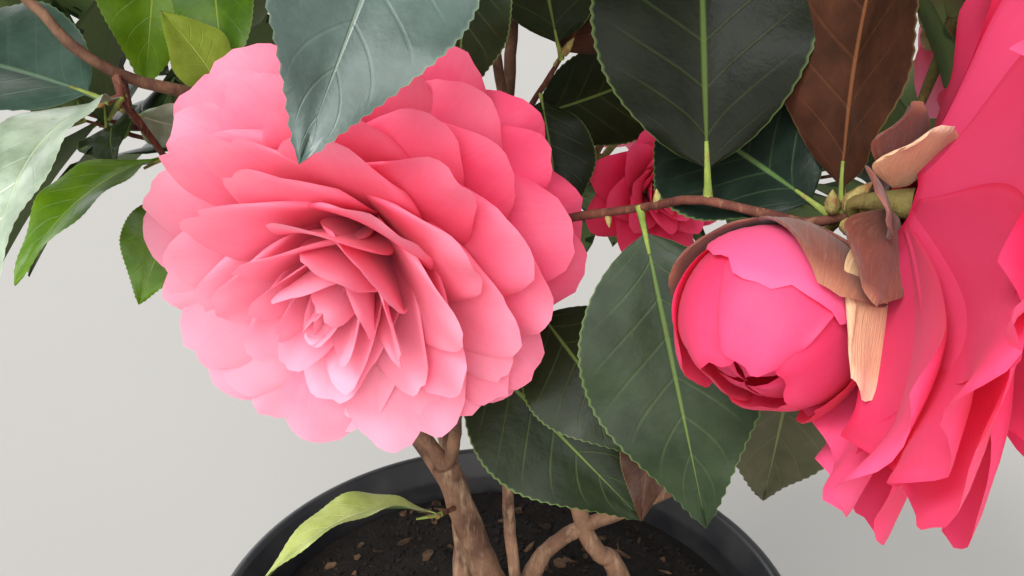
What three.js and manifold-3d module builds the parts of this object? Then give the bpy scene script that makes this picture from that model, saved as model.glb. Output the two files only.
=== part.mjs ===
// A flowering camellia shrub in a round black nursery pot.
// Millimetres, +Z up, origin at the centre of the pot's flat underside.
// The side towards -Y is the one seen in the photograph.
import * as THREE from 'three';
import Module from 'manifold-3d';

const wasm = await Module();
wasm.setup();

// Named sizes
const CLEAR = 0.3; // gap left between neighbouring pieces
const POT = { rim: 125, foot: 94, height: 220, wall: 2.4, floor: 3, band: 13, sides: 36 };
const DRAIN = { count: 6, ring: 66, radius: 5.5 };
const SOIL_TOP = 197;
const GROUND = SOIL_TOP + CLEAR;
const CROWN = { centre: [0, 10, 440], radius: 246, top: 682, under: 175, slack: 1.06 };
const LEAF = { length: [62, 90], width: 0.53, thick: 1.4, middle: 0.34, sunk: 0.5, arch: 0.035, droop: 0.08,
  fold: 0.07 };
const LEAF_OUTLINE = [[0.27, 0.44], [0.66, 0.42]];
const TWIG = { root: 1.9, tip: 0.95, fork: [1.4, 0.8], reach: [46, 14], pitch: 0.25 };
const SEED = 41;
const GOLDEN = 2.39996; // turn from one leaf to the next, in radians
const CARVE = CLEAR + 0.05; // how far limbs are fattened to cut their neighbours clear
const GAP = { leaf: 0.5, twig: 0.8, within: 0.1 }; // clearance of what is grown by rule
const SMALLEST = 0.004; // detail below this size is simplified away

// Finishes of the materials
const FINISH = {
  pot: { color: 0x17181a, roughness: 0.45 },
  soil: { color: 0x2b211a, roughness: 1 },
  bark: { color: 0x7c6450, roughness: 0.9 },
  leaf: { color: 0x2c4a2a, roughness: 0.5 },
  bloomPale: { color: 0xf2788f, roughness: 0.6 },
  bloomDeep: { color: 0xea2f5c, roughness: 0.6 },
};

// Stems rise from the compost. Each row is x, y, z and radius.
const STEMS = {
  stem_main: [[2, 3, GROUND, 15], [0, 3, 207, 10.4], [-9, 4, 231, 8.6], [-25, 4, 284, 7.4]],
  stem_front: [[12, -14, GROUND, 5.5], [8, -13, 214, 3.6], [2, -13, 262, 3.2], [0, -24, 330, 3]],
  stem_right: [[8, 19, GROUND, 8], [15, 14, 228, 5], [33, 8, 250, 4.3], [77, 0, 280, 3.6],
    [112, 2, 318, 3.1]],
  stem_centre: [[60, 14, GROUND, 9], [47, 10, 232, 5.4], [34, 8, 252, 4.8], [4, 20, 370, 4],
    [1, 20, 430, 3.5]],
  stem_back: [[-20, 24, GROUND, 8.5], [-21, 28, 232, 5.2], [-28, 38, 280, 4.7], [-40, 56, 340, 4.1]],
};

// Boughs leave a stem or another bough at a fraction of its length.
const BOUGHS = {
  bough_left: { from: 'stem_main', at: 1, radii: [4.8, 1.7],
    via: [[-37, 2, 306], [-58, -8, 370], [-74, -35, 432], [-104.2, -70.6, 452.4], [-120.8, -74.6, 470.6]],
    tip: [-135, -78, 487] },
  bough_bloom: { from: 'stem_main', at: 1, radii: [4.2, 2.3], via: [[-20, 0, 308], [-26, -16, 360]],
    tip: [-29.5, -47, 404] },
  bough_left_low: { from: 'stem_main', at: 0.86, radii: [3.8, 2], via: [[-62, 26, 322], [-100, 40, 362]],
    tip: [-130, 46, 402] },
  bough_front: { from: 'stem_front', at: 1, radii: [2.9, 2.1], via: [[0, -38, 378]], tip: [5.2, -60, 407] },
  bough_right: { from: 'stem_right', at: 1, radii: [3, 1.8], via: [[136, 4, 352]], tip: [152, 8, 402] },
  bough_right_back: { from: 'stem_right', at: 0.72, radii: [3, 1.9], via: [[98, 42, 318]],
    tip: [126, 84, 372] },
  bough_right_front: { from: 'stem_right', at: 0.95, radii: [2.8, 1.8], via: [[140, -26, 356]],
    tip: [160, -48, 430] },
  bough_top: { from: 'stem_centre', at: 1, radii: [3.4, 1.9], via: [[4, 18, 490]], tip: [2, 10, 556] },
  bough_top_front: { from: 'stem_centre', at: 0.97, radii: [2.8, 1.8], via: [[-6, -16, 478]],
    tip: [-10, -62, 517] },
  bough_top_right: { from: 'stem_centre', at: 0.9, radii: [3, 1.8], via: [[46, 16, 456]],
    tip: [98, -2, 512] },
  bough_back_right: { from: 'stem_centre', at: 0.72, radii: [3.2, 1.9], via: [[42, 62, 410]],
    tip: [82, 108, 462] },
  bough_back_top: { from: 'bough_top', at: 0.35, radii: [2.6, 1.8], via: [[12, 62, 508]],
    tip: [18, 98, 552] },
  bough_back: { from: 'stem_back', at: 1, radii: [3.4, 1.9], via: [[-32, 92, 388]], tip: [-18, 128, 436] },
  bough_back_left: { from: 'stem_back', at: 0.94, radii: [3.2, 1.9], via: [[-82, 78, 384]],
    tip: [-120, 92, 436] },
  bough_top_left: { from: 'stem_back', at: 0.8, radii: [3.4, 1.8], via: [[-58, 44, 410], [-72, 34, 460]],
    tip: [-92, 20, 512] },
  bough_back_low: { from: 'stem_back', at: 0.6, radii: [2.8, 1.8], via: [[-8, 82, 322]],
    tip: [24, 122, 362] },
};

// Sprays grown by rule: the bough they sit on, where, and how many leaves.
const SPRAYS = [
  { name: 'leaves_top_1', on: 'bough_top', at: 1, leaves: 13 },
  { name: 'leaves_top_2', on: 'bough_top', at: 0.62, leaves: 11, lean: [-0.9, -0.1, 0.4] },
  { name: 'leaves_top_right_1', on: 'bough_top_right', at: 1, leaves: 13 },
  { name: 'leaves_top_right_2', on: 'bough_top_right', at: 0.6, leaves: 11, lean: [0.1, 0.4, 0.9] },
  { name: 'leaves_top_front_1', on: 'bough_top_front', at: 0.72, leaves: 14, lean: [-0.35, -0.5, 0.9] },
  { name: 'leaves_top_left_1', on: 'bough_top_left', at: 1, leaves: 13 },
  { name: 'leaves_back_top_1', on: 'bough_back_top', at: 1, leaves: 13 },
  { name: 'leaves_back_right_1', on: 'bough_back_right', at: 1, leaves: 13 },
  { name: 'leaves_back_right_2', on: 'bough_back_right', at: 0.62, leaves: 10, lean: [0.9, 0.1, 0.3] },
  { name: 'leaves_back_1', on: 'bough_back', at: 1, leaves: 13 },
  { name: 'leaves_back_left_1', on: 'bough_back_left', at: 1, leaves: 13 },
  { name: 'leaves_back_low_1', on: 'bough_back_low', at: 1, leaves: 13 },
  { name: 'leaves_left_1', on: 'bough_left', at: 1, leaves: 13 },
  { name: 'leaves_left_low_1', on: 'bough_left_low', at: 1, leaves: 13 },
  { name: 'leaves_right_1', on: 'bough_right', at: 1, leaves: 13 },
  { name: 'leaves_right_back_1', on: 'bough_right_back', at: 1, leaves: 13 },
  { name: 'leaves_right_front_1', on: 'bough_right_front', at: 1, leaves: 13 },
];

// Sprays on the front, whose leaves are seen one by one. A twig has rows of x, y, z and radius,
// and a leaf has base, tip, width and roll.
const FRONT_SPRAYS = [
  { name: 'spray_front_right', on: 'bough_front',
    twigs: [[[5.2, -60, 407, 2], [17.4, -78.2, 414.1, 1.7], [35.2, -94.7, 421.2, 1.5],
      [47, -113.6, 427.9, 1.4], [65.3, -125, 425.9, 1.5], [74.5, -128.3, 428.4, 1.7]],
    [[56, -119, 427, 1.3], [64, -104, 420, 1.1], [82, -90, 401, 1]]],
    leaves: [
      { base: [47.7, -113.4, 428.4], tip: [46.5, -76.6, 511.9], width: 50, roll: 0 },
      { base: [73, -127.5, 428.1], tip: [78, -114, 508], width: 42, roll: -52 },
      { base: [70.7, -125.7, 428], tip: [42.1, -66.6, 445.8], width: 42, roll: 12 },
      { base: [35.2, -95.1, 420.9], tip: [51.7, -125.6, 345.3], width: 45, roll: 0 },
      { base: [81.4, -90.4, 401.8], tip: [81.1, -80.7, 319.5], width: 42, roll: -10 },
    ] },
  { name: 'spray_lower', on: 'bough_front',
    twigs: [[[0.7, -45, 390, 1.9], [4, -56, 385, 1.7], [16, -66, 378, 1.4], [30, -75, 370, 1.2],
      [46, -83.5, 363, 1]],
    [[2, -50, 387, 1.5], [-6, -57, 377, 1.3], [-14, -60, 369, 1.1]]],
    leaves: [
      { base: [-12.6, -59.3, 370.5], tip: [42.2, -91.6, 324.7], width: 45, roll: 0 },
      { base: [9.8, -61, 381.8], tip: [41.4, -99, 350.8], width: 38, roll: 8 },
      { base: [44.5, -82.7, 363.6], tip: [39.2, -101, 331.4], width: 16, roll: 0 },
    ] },
  { name: 'spray_upper', on: 'bough_top_front',
    twigs: [[[-10, -62, 517, 1.8], [-12, -80, 516, 1.5], [-15, -97, 508, 1.2]],
    [[-10.6, -68, 516.7, 1.4], [-6, -66, 500, 1.1], [-6, -58, 490, 0.9]]],
    leaves: [
      { base: [-14.6, -95.4, 508.8], tip: [-37.5, -139.9, 443.4], width: 44, roll: 0 },
      { base: [-6, -59.3, 491.6], tip: [-14.3, -62, 440], width: 30, roll: 25 },
      { base: [-13, -86, 512.5], tip: [32, -118, 552], width: 44, roll: 35 },
      { base: [-11.2, -74, 516.4], tip: [-74, -92, 548], width: 45, roll: 30 },
      { base: [-14, -92, 510], tip: [-20, -150, 565], width: 46, roll: 75 },
    ] },
  { name: 'spray_left', on: 'bough_left',
    twigs: [[[-103.4, -69.8, 452, 1.7], [-101.2, -73.6, 446, 1.5], [-99, -67, 436, 1.3],
      [-97, -59, 425, 1.1], [-95, -55, 416, 0.9]],
    [[-101.4, -73.2, 446.6, 1.2], [-107, -72, 444.6, 1]]],
    leaves: [
      { base: [-106, -72.2, 445], tip: [-179.7, -52, 462], width: 46, roll: 40 },
      { base: [-101.2, -73.4, 446], tip: [-112, -134, 416], width: 46, roll: -62 },
      { base: [-100.2, -70.6, 441.5], tip: [-86, -58, 434], width: 17, roll: 40 },
      { base: [-97.4, -60.6, 427.6], tip: [-124.3, -102.2, 406.6], width: 34, roll: 62 },
      { base: [-95.2, -55.6, 417.2], tip: [-105.6, -75, 387.8], width: 22, roll: 10 },
    ] },
  { name: 'spray_left_back', on: 'bough_top_left',
    twigs: [[[-83, 27, 489, 1.8], [-96, 12, 492, 1.4], [-103, 4, 500, 1.1], [-118, 14, 507, 1]],
    [[-89, 20, 490.4, 1.4], [-92, -2, 462, 1.2], [-92.5, -18, 437, 1]]],
    leaves: [
      { base: [-117, 13.6, 506.5], tip: [-126.3, -0.5, 440.2], width: 38, roll: 0 },
      { base: [-92.3, -17, 438.4], tip: [-105.2, -26.6, 467.4], width: 24, roll: 35 },
      { base: [-99.1, 8.5, 495.6], tip: [-94.7, -14, 440.2], width: 28, roll: 20 },
    ] },
  { name: 'spray_behind', on: 'stem_centre',
    twigs: [[[1.6, 20, 416, 1.8], [8, 6, 430, 1.5], [14, -4, 442, 1.2], [20, -8, 452, 1]]],
    leaves: [
      { base: [12.6, -1.8, 439], tip: [20, -30, 396], width: 30, roll: -15 },
      { base: [18, -6.6, 449], tip: [52, -16, 506], width: 40, roll: 0 },
      { base: [7.4, 7.2, 428.6], tip: [74, 4, 452], width: 42, roll: 30 },
      { base: [19.4, -7.7, 451.4], tip: [4, -36, 520], width: 40, roll: -20 },
    ] },
  { name: 'spray_foot', on: 'stem_main',
    twigs: [[[-20, 4, 264, 1.6], [-24, -10, 271, 1.3], [-26, -24, 279, 1.1]]],
    leaves: [
      { base: [-25.7, -22, 278], tip: [-86, -62, 283], width: 22, roll: 64, arch: 0.24 },
    ] },
];

// Blooms face along their axis and hang on a stalk from a bough. The bud is the one that is half open.
const BLOOMS = [
  { name: 'bloom_front', on: 'bough_bloom', at: 1, centre: [-39.8, -87.7, 408.4], radius: 57,
    axis: [-0.276, -0.935, -0.228], kind: 'fine' },
  { name: 'bud_right', on: 'spray_front_right', start: [74.5, -128.3, 428.4], centre: [58.8, -133, 405],
    radius: 21.2, axis: [-0.5, -0.62, -0.62], kind: 'bud', deep: true },
  { name: 'bloom_right', on: 'spray_front_right', start: [75.4, -129, 428], centre: [100, -144, 429.5],
    radius: 62, axis: [0.91, -0.32, -0.19], kind: 'fine', deep: true, beside: 'bud_right' },
  { name: 'bloom_behind', on: 'bough_top_right', at: 0.2, centre: [56, -3, 404], radius: 28,
    axis: [0.35, -0.86, 0.1], deep: true },
  { name: 'bloom_top', on: 'bough_top_right', at: 0.62, centre: [58, -60, 578], radius: 46,
    axis: [0.35, -0.75, 0.55] },
  { name: 'bloom_top_left', on: 'bough_top_left', at: 0.9, centre: [-150, -24, 572], radius: 46,
    axis: [-0.75, -0.4, 0.5] },
  { name: 'bloom_top_right', on: 'bough_top_right', at: 0.75, centre: [160, -44, 560], radius: 48,
    axis: [0.75, -0.4, 0.45], deep: true },
  { name: 'bloom_right_side', on: 'bough_right', at: 0.7, centre: [196, 58, 462], radius: 47,
    axis: [0.93, 0.3, 0.1] },
  { name: 'bloom_back_right', on: 'bough_back_right', at: 0.8, centre: [124, 142, 528], radius: 47,
    axis: [0.6, 0.74, 0.3], deep: true },
  { name: 'bloom_back', on: 'bough_back', at: 0.8, centre: [-64, 184, 494], radius: 48,
    axis: [-0.25, 0.95, 0.15] },
  { name: 'bloom_back_left', on: 'bough_back_left', at: 0.8, centre: [-184, 96, 502], radius: 46,
    axis: [-0.85, 0.45, 0.25], deep: true },
  { name: 'bloom_back_low', on: 'bough_back_low', at: 0.6, centre: [84, 176, 414], radius: 42,
    axis: [0.45, 0.88, -0.1] },
];
const PETALS = 7;
// Rows of a bloom: angle from the axis, reach, depth of the lobes and their shift round the axis.
// The hull and the bud are rows of place along the axis and radius.
const BLOOM_PLAIN = [[8, 0.58, 0, 0], [30, 0.75, 0.14, 0.5], [40, 0.62, 0, 0], [62, 0.95, 0.18, 0],
  [72, 0.74, 0, 0], [92, 1.04, 0.22, 0.5], [148, 0.36, 0, 0]];
const BLOOM_FINE = [[6, 0.6, 0, 0], [15, 0.66, 0.1, 0], [21, 0.6, 0, 0], [31, 0.76, 0.14, 0.5],
  [38, 0.66, 0, 0], [49, 0.86, 0.16, 0], [56, 0.72, 0, 0], [68, 0.97, 0.18, 0.5], [76, 0.8, 0, 0],
  [91, 1.04, 0.2, 0], [103, 0.8, 0.1, 0], [132, 0.46, 0, 0], [160, 0.33, 0, 0]];
const BLOOM_HULL = [[-0.34, 0.1], [-0.24, 1.03], [0.3, 1.05], [0.62, 0.6], [0.72, 0.16]];
const HULL_AXES = 13; // directions in which a bloom's hull is compared with its neighbours
const BUD_PROFILE = [[-1.05, 0.14], [-0.9, 0.52], [-0.4, 0.93], [0.1, 1.02], [0.6, 0.86], [0.98, 0.5],
  [1.14, 0.16]];

// The open side: looking in from here the stems show under the leaves, and nothing hangs in front.
// A window is a box in pixels of the photograph and the depth up to which it stays empty.
const LOOK = { from: [2.8, -299, 474], pitch: 20, focal: 830, centre: [512, 288], least: 20, room: 60 };
const OPEN = [
  { box: [-60, -60, 1084, 640], nearer: 268 },
  { box: [-60, 285, 250, 640], nearer: 900 },
  { box: [-60, 428, 1084, 640], nearer: 900 },
  { box: [560, 225, 760, 640], nearer: 360 },
];

// Small vector kit on plain arrays
const add = (a, b) => [a[0] + b[0], a[1] + b[1], a[2] + b[2]];
const sub = (a, b) => [a[0] - b[0], a[1] - b[1], a[2] - b[2]];
const mul = (a, k) => [a[0] * k, a[1] * k, a[2] * k];
const dot = (a, b) => a[0] * b[0] + a[1] * b[1] + a[2] * b[2];
const cross = (a, b) => [a[1] * b[2] - a[2] * b[1], a[2] * b[0] - a[0] * b[2], a[0] * b[1] - a[1] * b[0]];
const size = (a) => Math.sqrt(dot(a, a));
const unit = (a) => mul(a, 1 / (size(a) || 1));
const mix = (a, b, t) => add(mul(a, 1 - t), mul(b, t));
const radians = (degrees) => (degrees * Math.PI) / 180;

function turn(v, axis, angle) {
  const c = Math.cos(angle);
  const s = Math.sin(angle);
  const along = mul(axis, dot(axis, v) * (1 - c));
  return add(add(mul(v, c), mul(cross(axis, v), s)), along);
}

function upright(v, d) {
  const flat = sub(v, mul(d, dot(v, d)));
  return size(flat) > 1e-6 ? unit(flat) : unit(cross(d, [1, 0.3, 0.2]));
}

function randomFrom(seed) {
  let state = seed | 0;
  return () => {
    state = (state + 0x6d2b79f5) | 0;
    let t = Math.imul(state ^ (state >>> 15), 1 | state);
    t = (t + Math.imul(t ^ (t >>> 7), 61 | t)) ^ t;
    return ((t ^ (t >>> 14)) >>> 0) / 4294967296;
  };
}

// A smooth path through rows of x, y, z and radius
function smooth(rows, steps) {
  const out = [];
  for (let i = 0; i < rows.length - 1; i += 1) {
    const a = rows[Math.max(i - 1, 0)];
    const b = rows[i];
    const c = rows[i + 1];
    const d = rows[Math.min(i + 2, rows.length - 1)];
    for (let k = 0; k < steps; k += 1) {
      const t = k / steps;
      const row = b.map((_, j) => 0.5 * (2 * b[j] + (c[j] - a[j]) * t
        + (2 * a[j] - 5 * b[j] + 4 * c[j] - d[j]) * t * t
        + (3 * b[j] - a[j] - 3 * c[j] + d[j]) * t * t * t));
      out.push({ p: row.slice(0, 3), r: row[3] });
    }
  }
  const last = rows[rows.length - 1];
  out.push({ p: last.slice(0, 3), r: last[3] });
  return out;
}

function placeOn(path, fraction) {
  const x = fraction * (path.length - 1);
  const i = Math.min(Math.floor(x), path.length - 2);
  const a = path[i];
  const b = path[i + 1];
  return { p: mix(a.p, b.p, x - i), r: a.r + (b.r - a.r) * (x - i), d: unit(sub(b.p, a.p)) };
}

// Rings of points square to a path. A level foot is cut flat.
function ringsOf(path, sides, levelFoot) {
  let across = null;
  return path.map((row, i) => {
    const before = path[Math.max(i - 1, 0)].p;
    const after = path[Math.min(i + 1, path.length - 1)].p;
    const d = levelFoot && i === 0 ? [0, 0, 1] : unit(sub(after, before));
    across = upright(across ?? [1, 0, 0], d);
    const side = cross(d, across);
    return Array.from({ length: sides }, (_, k) => {
      const angle = (2 * Math.PI * k) / sides;
      return add(row.p, mul(add(mul(across, Math.cos(angle)), mul(side, Math.sin(angle))), row.r));
    });
  });
}

function solidFrom(points, faces) {
  const mesh = new wasm.Mesh({
    numProp: 3,
    vertProperties: new Float32Array(points.flat()),
    triVerts: new Uint32Array(faces.flat()),
  });
  return new wasm.Manifold(mesh);
}

// A solid whose faces may all have been listed the wrong way round
function closedSolid(points, faces) {
  const solid = solidFrom(points, faces);
  return solid.volume() > 0 ? solid : solidFrom(points, faces.map(([a, b, c]) => [a, c, b]));
}

function solidOfRings(rings) {
  const sides = rings[0].length;
  const points = rings.flat();
  const faces = [];
  for (let i = 0; i < rings.length - 1; i += 1) {
    for (let k = 0; k < sides; k += 1) {
      const a = i * sides + k;
      const b = i * sides + ((k + 1) % sides);
      faces.push([a, b, b + sides], [a, b + sides, a + sides]);
    }
  }
  const end = (rings.length - 1) * sides;
  for (let k = 1; k < sides - 1; k += 1) {
    faces.push([0, k + 1, k], [end, end + k, end + k + 1]);
  }
  return solidFrom(points, faces);
}

// A limb a little fatter and longer than it is, used to cut its neighbours clear
function fattened(path, sides, by, levelFoot) {
  const fat = path.map((row) => ({ p: row.p, r: (row.r + by) / Math.cos(Math.PI / sides) }));
  const n = fat.length;
  fat[0].p = sub(path[0].p, mul(unit(sub(path[1].p, path[0].p)), by));
  fat[n - 1].p = add(path[n - 1].p, mul(unit(sub(path[n - 1].p, path[n - 2].p)), by));
  return solidOfRings(ringsOf(fat, sides, levelFoot));
}

function largest(solid) {
  const bodies = solid.decompose();
  return bodies.reduce((best, body) => (body.volume() > best.volume() ? body : best));
}

// Convex pieces, for telling whether two things keep clear of each other
function pieceOf(points, normals, edges, node) {
  const c = mul(points.reduce(add), 1 / points.length);
  const r = Math.max(...points.map((p) => size(sub(p, c))));
  return { points, normals, edges, node, c, r };
}

function spread(points, axis) {
  let low = Infinity;
  let high = -Infinity;
  for (const p of points) {
    const x = dot(p, axis);
    low = Math.min(low, x);
    high = Math.max(high, x);
  }
  return [low, high];
}

function apart(a, b, gap) {
  const between = sub(b.c, a.c);
  if (size(between) > a.r + b.r + gap) return true;
  const axes = [unit(between), ...a.normals, ...b.normals];
  for (const e of a.edges) {
    for (const f of b.edges) {
      const x = cross(e, f);
      if (size(x) > 0.05) axes.push(unit(x));
    }
  }
  return axes.some((axis) => {
    const [lowA, highA] = spread(a.points, axis);
    const [lowB, highB] = spread(b.points, axis);
    return lowB > highA + gap || lowA > highB + gap;
  });
}

function limbPieces(path, node) {
  const pieces = [];
  for (let i = 0; i < path.length - 1; i += 1) {
    const rings = ringsOf([path[i], path[i + 1]], 6, false);
    const d = unit(sub(path[i + 1].p, path[i].p));
    const middles = [0, 1, 2].map((k) => mix(rings[0][k], rings[0][k + 1], 0.5));
    const normals = middles.map((p) => upright(sub(p, path[i].p), d));
    pieces.push(pieceOf(rings.flat(), [d, ...normals], [d], node));
  }
  return pieces;
}

// One leaf: a thin lens about its midrib, arched along it and folded up at the sides,
// whose pointed root is sunk in its twig
function leafBlade(base, tip, width, face, arch) {
  const length = size(sub(tip, base));
  const d = unit(sub(tip, base));
  const n = upright(face, d);
  const s = cross(d, n);
  const put = (x, y, z) => add(base, add(mul(d, x * length), add(mul(s, y), mul(n, z))));
  const rise = (x) => arch * length * 4 * x * (1 - x) - LEAF.droop * length * x * x;
  const edge = (sign) => LEAF_OUTLINE.map(([x, w]) => (
    put(x, sign * w * width, rise(x) + LEAF.fold * w * width)));
  const rim = [put(-LEAF.sunk / length, 0, 0), ...edge(1), put(1, 0, rise(1)), ...edge(-1).reverse()];
  const m = rim.length;
  const half = LEAF.thick / 2;
  const top = put(LEAF.middle, 0, rise(LEAF.middle) + half);
  const under = put(LEAF.middle, 0, rise(LEAF.middle) - half);
  const faces = [];
  for (let k = 0; k < m; k += 1) {
    faces.push([k, (k + 1) % m, m], [(k + 1) % m, k, m + 1]);
  }
  return { points: [...rim, top, under], faces, d, s };
}

function facing(points, faces) {
  return faces.map(([a, b, c]) => unit(cross(sub(points[b], points[a]), sub(points[c], points[a]))));
}

function leafPiece({ points, faces, d, s }, node) {
  const rims = [0, 1, 2].map((k) => unit(sub(points[k + 1], points[k])));
  return pieceOf(points, facing(points, faces), [d, s, ...rims], node);
}

// A rounded body of rings along an axis, such as a bud or the heart of a bloom
function roundedRings(centre, axis, profile, sides) {
  const across = upright([0.2, 0.1, 1], axis);
  const side = cross(axis, across);
  return profile.map(([x, r]) => Array.from({ length: sides }, (_, k) => {
    const angle = (2 * Math.PI * k) / sides;
    const out = add(mul(across, Math.cos(angle) * r), mul(side, Math.sin(angle) * r));
    return add(add(centre, mul(axis, x)), out);
  }));
}

function roundedPiece(rings, axis, node) {
  const points = rings.flat();
  const normals = [axis];
  for (let k = 0; k < HULL_AXES; k += 1) {
    const z = -0.9 + (1.8 * k) / (HULL_AXES - 1);
    const flat = Math.sqrt(1 - z * z);
    normals.push([flat * Math.cos(k * GOLDEN), flat * Math.sin(k * GOLDEN), z]);
  }
  return pieceOf(points, normals, [axis], node);
}

// Every limb, convex piece and node, as it is placed
const limbs = {};
const pieces = [];
const nodes = [];

function addLimb(name, path, sides, levelFoot) {
  let solid = solidOfRings(ringsOf(path, sides, levelFoot));
  for (const other of Object.values(limbs)) {
    solid = solid.subtract(other.fat);
  }
  solid = largest(solid);
  limbs[name] = { path, fat: fattened(path, sides, CARVE, levelFoot) };
  pieces.push(...limbPieces(path, name));
  nodes.push({ name, parts: [solid], finish: FINISH.bark });
}

function lookedAt(p) {
  const pitch = radians(LOOK.pitch);
  const v = sub(p, LOOK.from);
  const depth = v[1] * Math.cos(pitch) - v[2] * Math.sin(pitch);
  const up = v[1] * Math.sin(pitch) + v[2] * Math.cos(pitch);
  const scale = LOOK.focal / depth;
  return [LOOK.centre[0] + scale * v[0], LOOK.centre[1] - scale * up, depth];
}

function inOpenSide(points) {
  return points.some((p) => {
    const [u, v, depth] = lookedAt(p);
    if (depth < LOOK.least) return p[1] < LOOK.from[1] + LOOK.room;
    return OPEN.some(({ box, nearer }) => depth < nearer
      && u > box[0] && v > box[1] && u < box[2] && v < box[3]);
  });
}

function inCrown(points) {
  return points.every((p) => {
    const out = sub(p, CROWN.centre);
    const flat = Math.sqrt(out[0] * out[0] + out[1] * out[1]) / CROWN.radius;
    const high = out[2] / (out[2] > 0 ? CROWN.top - CROWN.centre[2] : CROWN.under);
    return flat * flat + high * high < CROWN.slack;
  });
}

// Whether a piece keeps clear of all that is placed, apart from what it grows on
function clearOf(piece, gap, own) {
  return pieces.every((other) => own.includes(other)
    || apart(piece, other, other.node === piece.node ? GAP.within : gap));
}

// Blooms are rosettes: rows of petals, each row a ring of lobes that stands out over the next.
// Every point lies straight out from the heart, so the surface never crosses itself.
function bloomSolid(centre, axis, radius, fine) {
  const each = fine ? 3 : 2;
  const sides = PETALS * each;
  const across = upright([0.2, 0.1, 1], axis);
  const side = cross(axis, across);
  const rings = (fine ? BLOOM_FINE : BLOOM_PLAIN).map(([angle, reach, lobe, shift]) => {
    const polar = radians(angle);
    return Array.from({ length: sides }, (_, k) => {
      const phase = (k / each + shift) % 1;
      const swell = 1 - lobe * (2 * Math.abs(phase - 0.5)) ** (fine ? 2.2 : 1);
      const turned = (2 * Math.PI * k) / sides;
      const out = add(mul(across, Math.cos(turned)), mul(side, Math.sin(turned)));
      const d = add(mul(axis, Math.cos(polar)), mul(out, Math.sin(polar)));
      return add(centre, mul(d, reach * swell * radius));
    });
  });
  return solidOfRings(rings.reverse());
}

function addBloom(bloom) {
  const { name, centre, radius, kind } = bloom;
  const axis = unit(bloom.axis);
  const start = bloom.start ?? placeOn(limbs[bloom.on].path, bloom.at).p;
  const isBud = kind === 'bud';
  const seat = add(centre, mul(axis, (isBud ? -1.02 : -0.3) * radius));
  const bend = add(mix(start, seat, 0.55), mul(axis, -0.1 * radius));
  const stalk = smooth([[...start, 1.7], [...bend, 1.8], [...seat, 4.2]], 2);
  const hull = (isBud ? BUD_PROFILE : BLOOM_HULL).map(([x, r]) => [x * radius, r * radius]);
  const hullRings = roundedRings(centre, axis, hull, 10);
  pieces.push(roundedPiece(hullRings, axis, name), ...limbPieces(stalk, name));
  const head = isBud ? solidOfRings(hullRings) : bloomSolid(centre, axis, radius, kind === 'fine');
  if (isBud) {
    const larger = hull.map(([x, r]) => [x * 1.02, r + 2 * CLEAR]);
    limbs[name] = { fat: solidOfRings(roundedRings(centre, axis, larger, 10)) };
  }
  const parts = [solidOfRings(ringsOf(stalk, 5, false)), head];
  const finish = bloom.deep ? FINISH.bloomDeep : FINISH.bloomPale;
  nodes.push({ name, parts, on: bloom.on, beside: bloom.beside, finish });
}

// A front leaf's face, turned from the open side about its midrib
function rolledFace(base, tip, roll) {
  const d = unit(sub(tip, base));
  const towards = upright(sub(LOOK.from, mix(base, tip, 0.5)), d);
  return turn(towards, d, radians(roll));
}

function addFrontSpray(spray) {
  const parts = [];
  const own = [];
  for (const rows of spray.twigs) {
    const path = smooth(rows, 1);
    parts.push(solidOfRings(ringsOf(path, 3, false)));
    own.push(...limbPieces(path, spray.name));
  }
  for (const leaf of spray.leaves) {
    const face = rolledFace(leaf.base, leaf.tip, leaf.roll);
    const blade = leafBlade(leaf.base, leaf.tip, leaf.width, face, leaf.arch ?? LEAF.arch);
    parts.push(closedSolid(blade.points, blade.faces));
    own.push(leafPiece(blade, spray.name));
  }
  limbs[spray.name] = { fat: fattened(smooth(spray.twigs[0], 1), 3, CARVE, false) };
  pieces.push(...own);
  nodes.push({ name: spray.name, parts, on: spray.on, finish: FINISH.leaf });
}

// Sprays grown by rule: a twig, its forks, and then the leaves in turn round them
function growTwig(start, d, length, radii, rnd) {
  const side = upright([rnd() - 0.5, rnd() - 0.5, rnd() - 0.5], d);
  const rise = mul([0, 0, 1], 0.1 * length);
  const end = add(add(add(start, mul(d, length)), mul(side, length * 0.05)), rise);
  return smooth([[...start, radii[0]], [...end, radii[1]]], 1);
}

function addForks(name, main, reach, forks, rnd) {
  const twigs = [main];
  for (let k = 0; k < forks; k += 1) {
    const from = placeOn(main, 0.3 + (0.5 * k) / forks);
    const out = turn(upright([0.3, 0.2, 1], from.d), from.d, 2.4 * k + 6 * rnd());
    for (let attempt = 0; attempt < 6; attempt += 1) {
      const way = turn(out, from.d, attempt * 1.05);
      const d = unit(add(mul(from.d, 0.62), mul(way, 0.75)));
      const twig = growTwig(from.p, d, reach * (0.5 + 0.2 * rnd()), TWIG.fork, rnd);
      const clear = limbPieces(twig, name).every((piece) => clearOf(piece, GAP.twig, []));
      if (clear && !inOpenSide([twig[1].p])) {
        twigs.push(twig);
        break;
      }
    }
  }
  return twigs;
}

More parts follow.
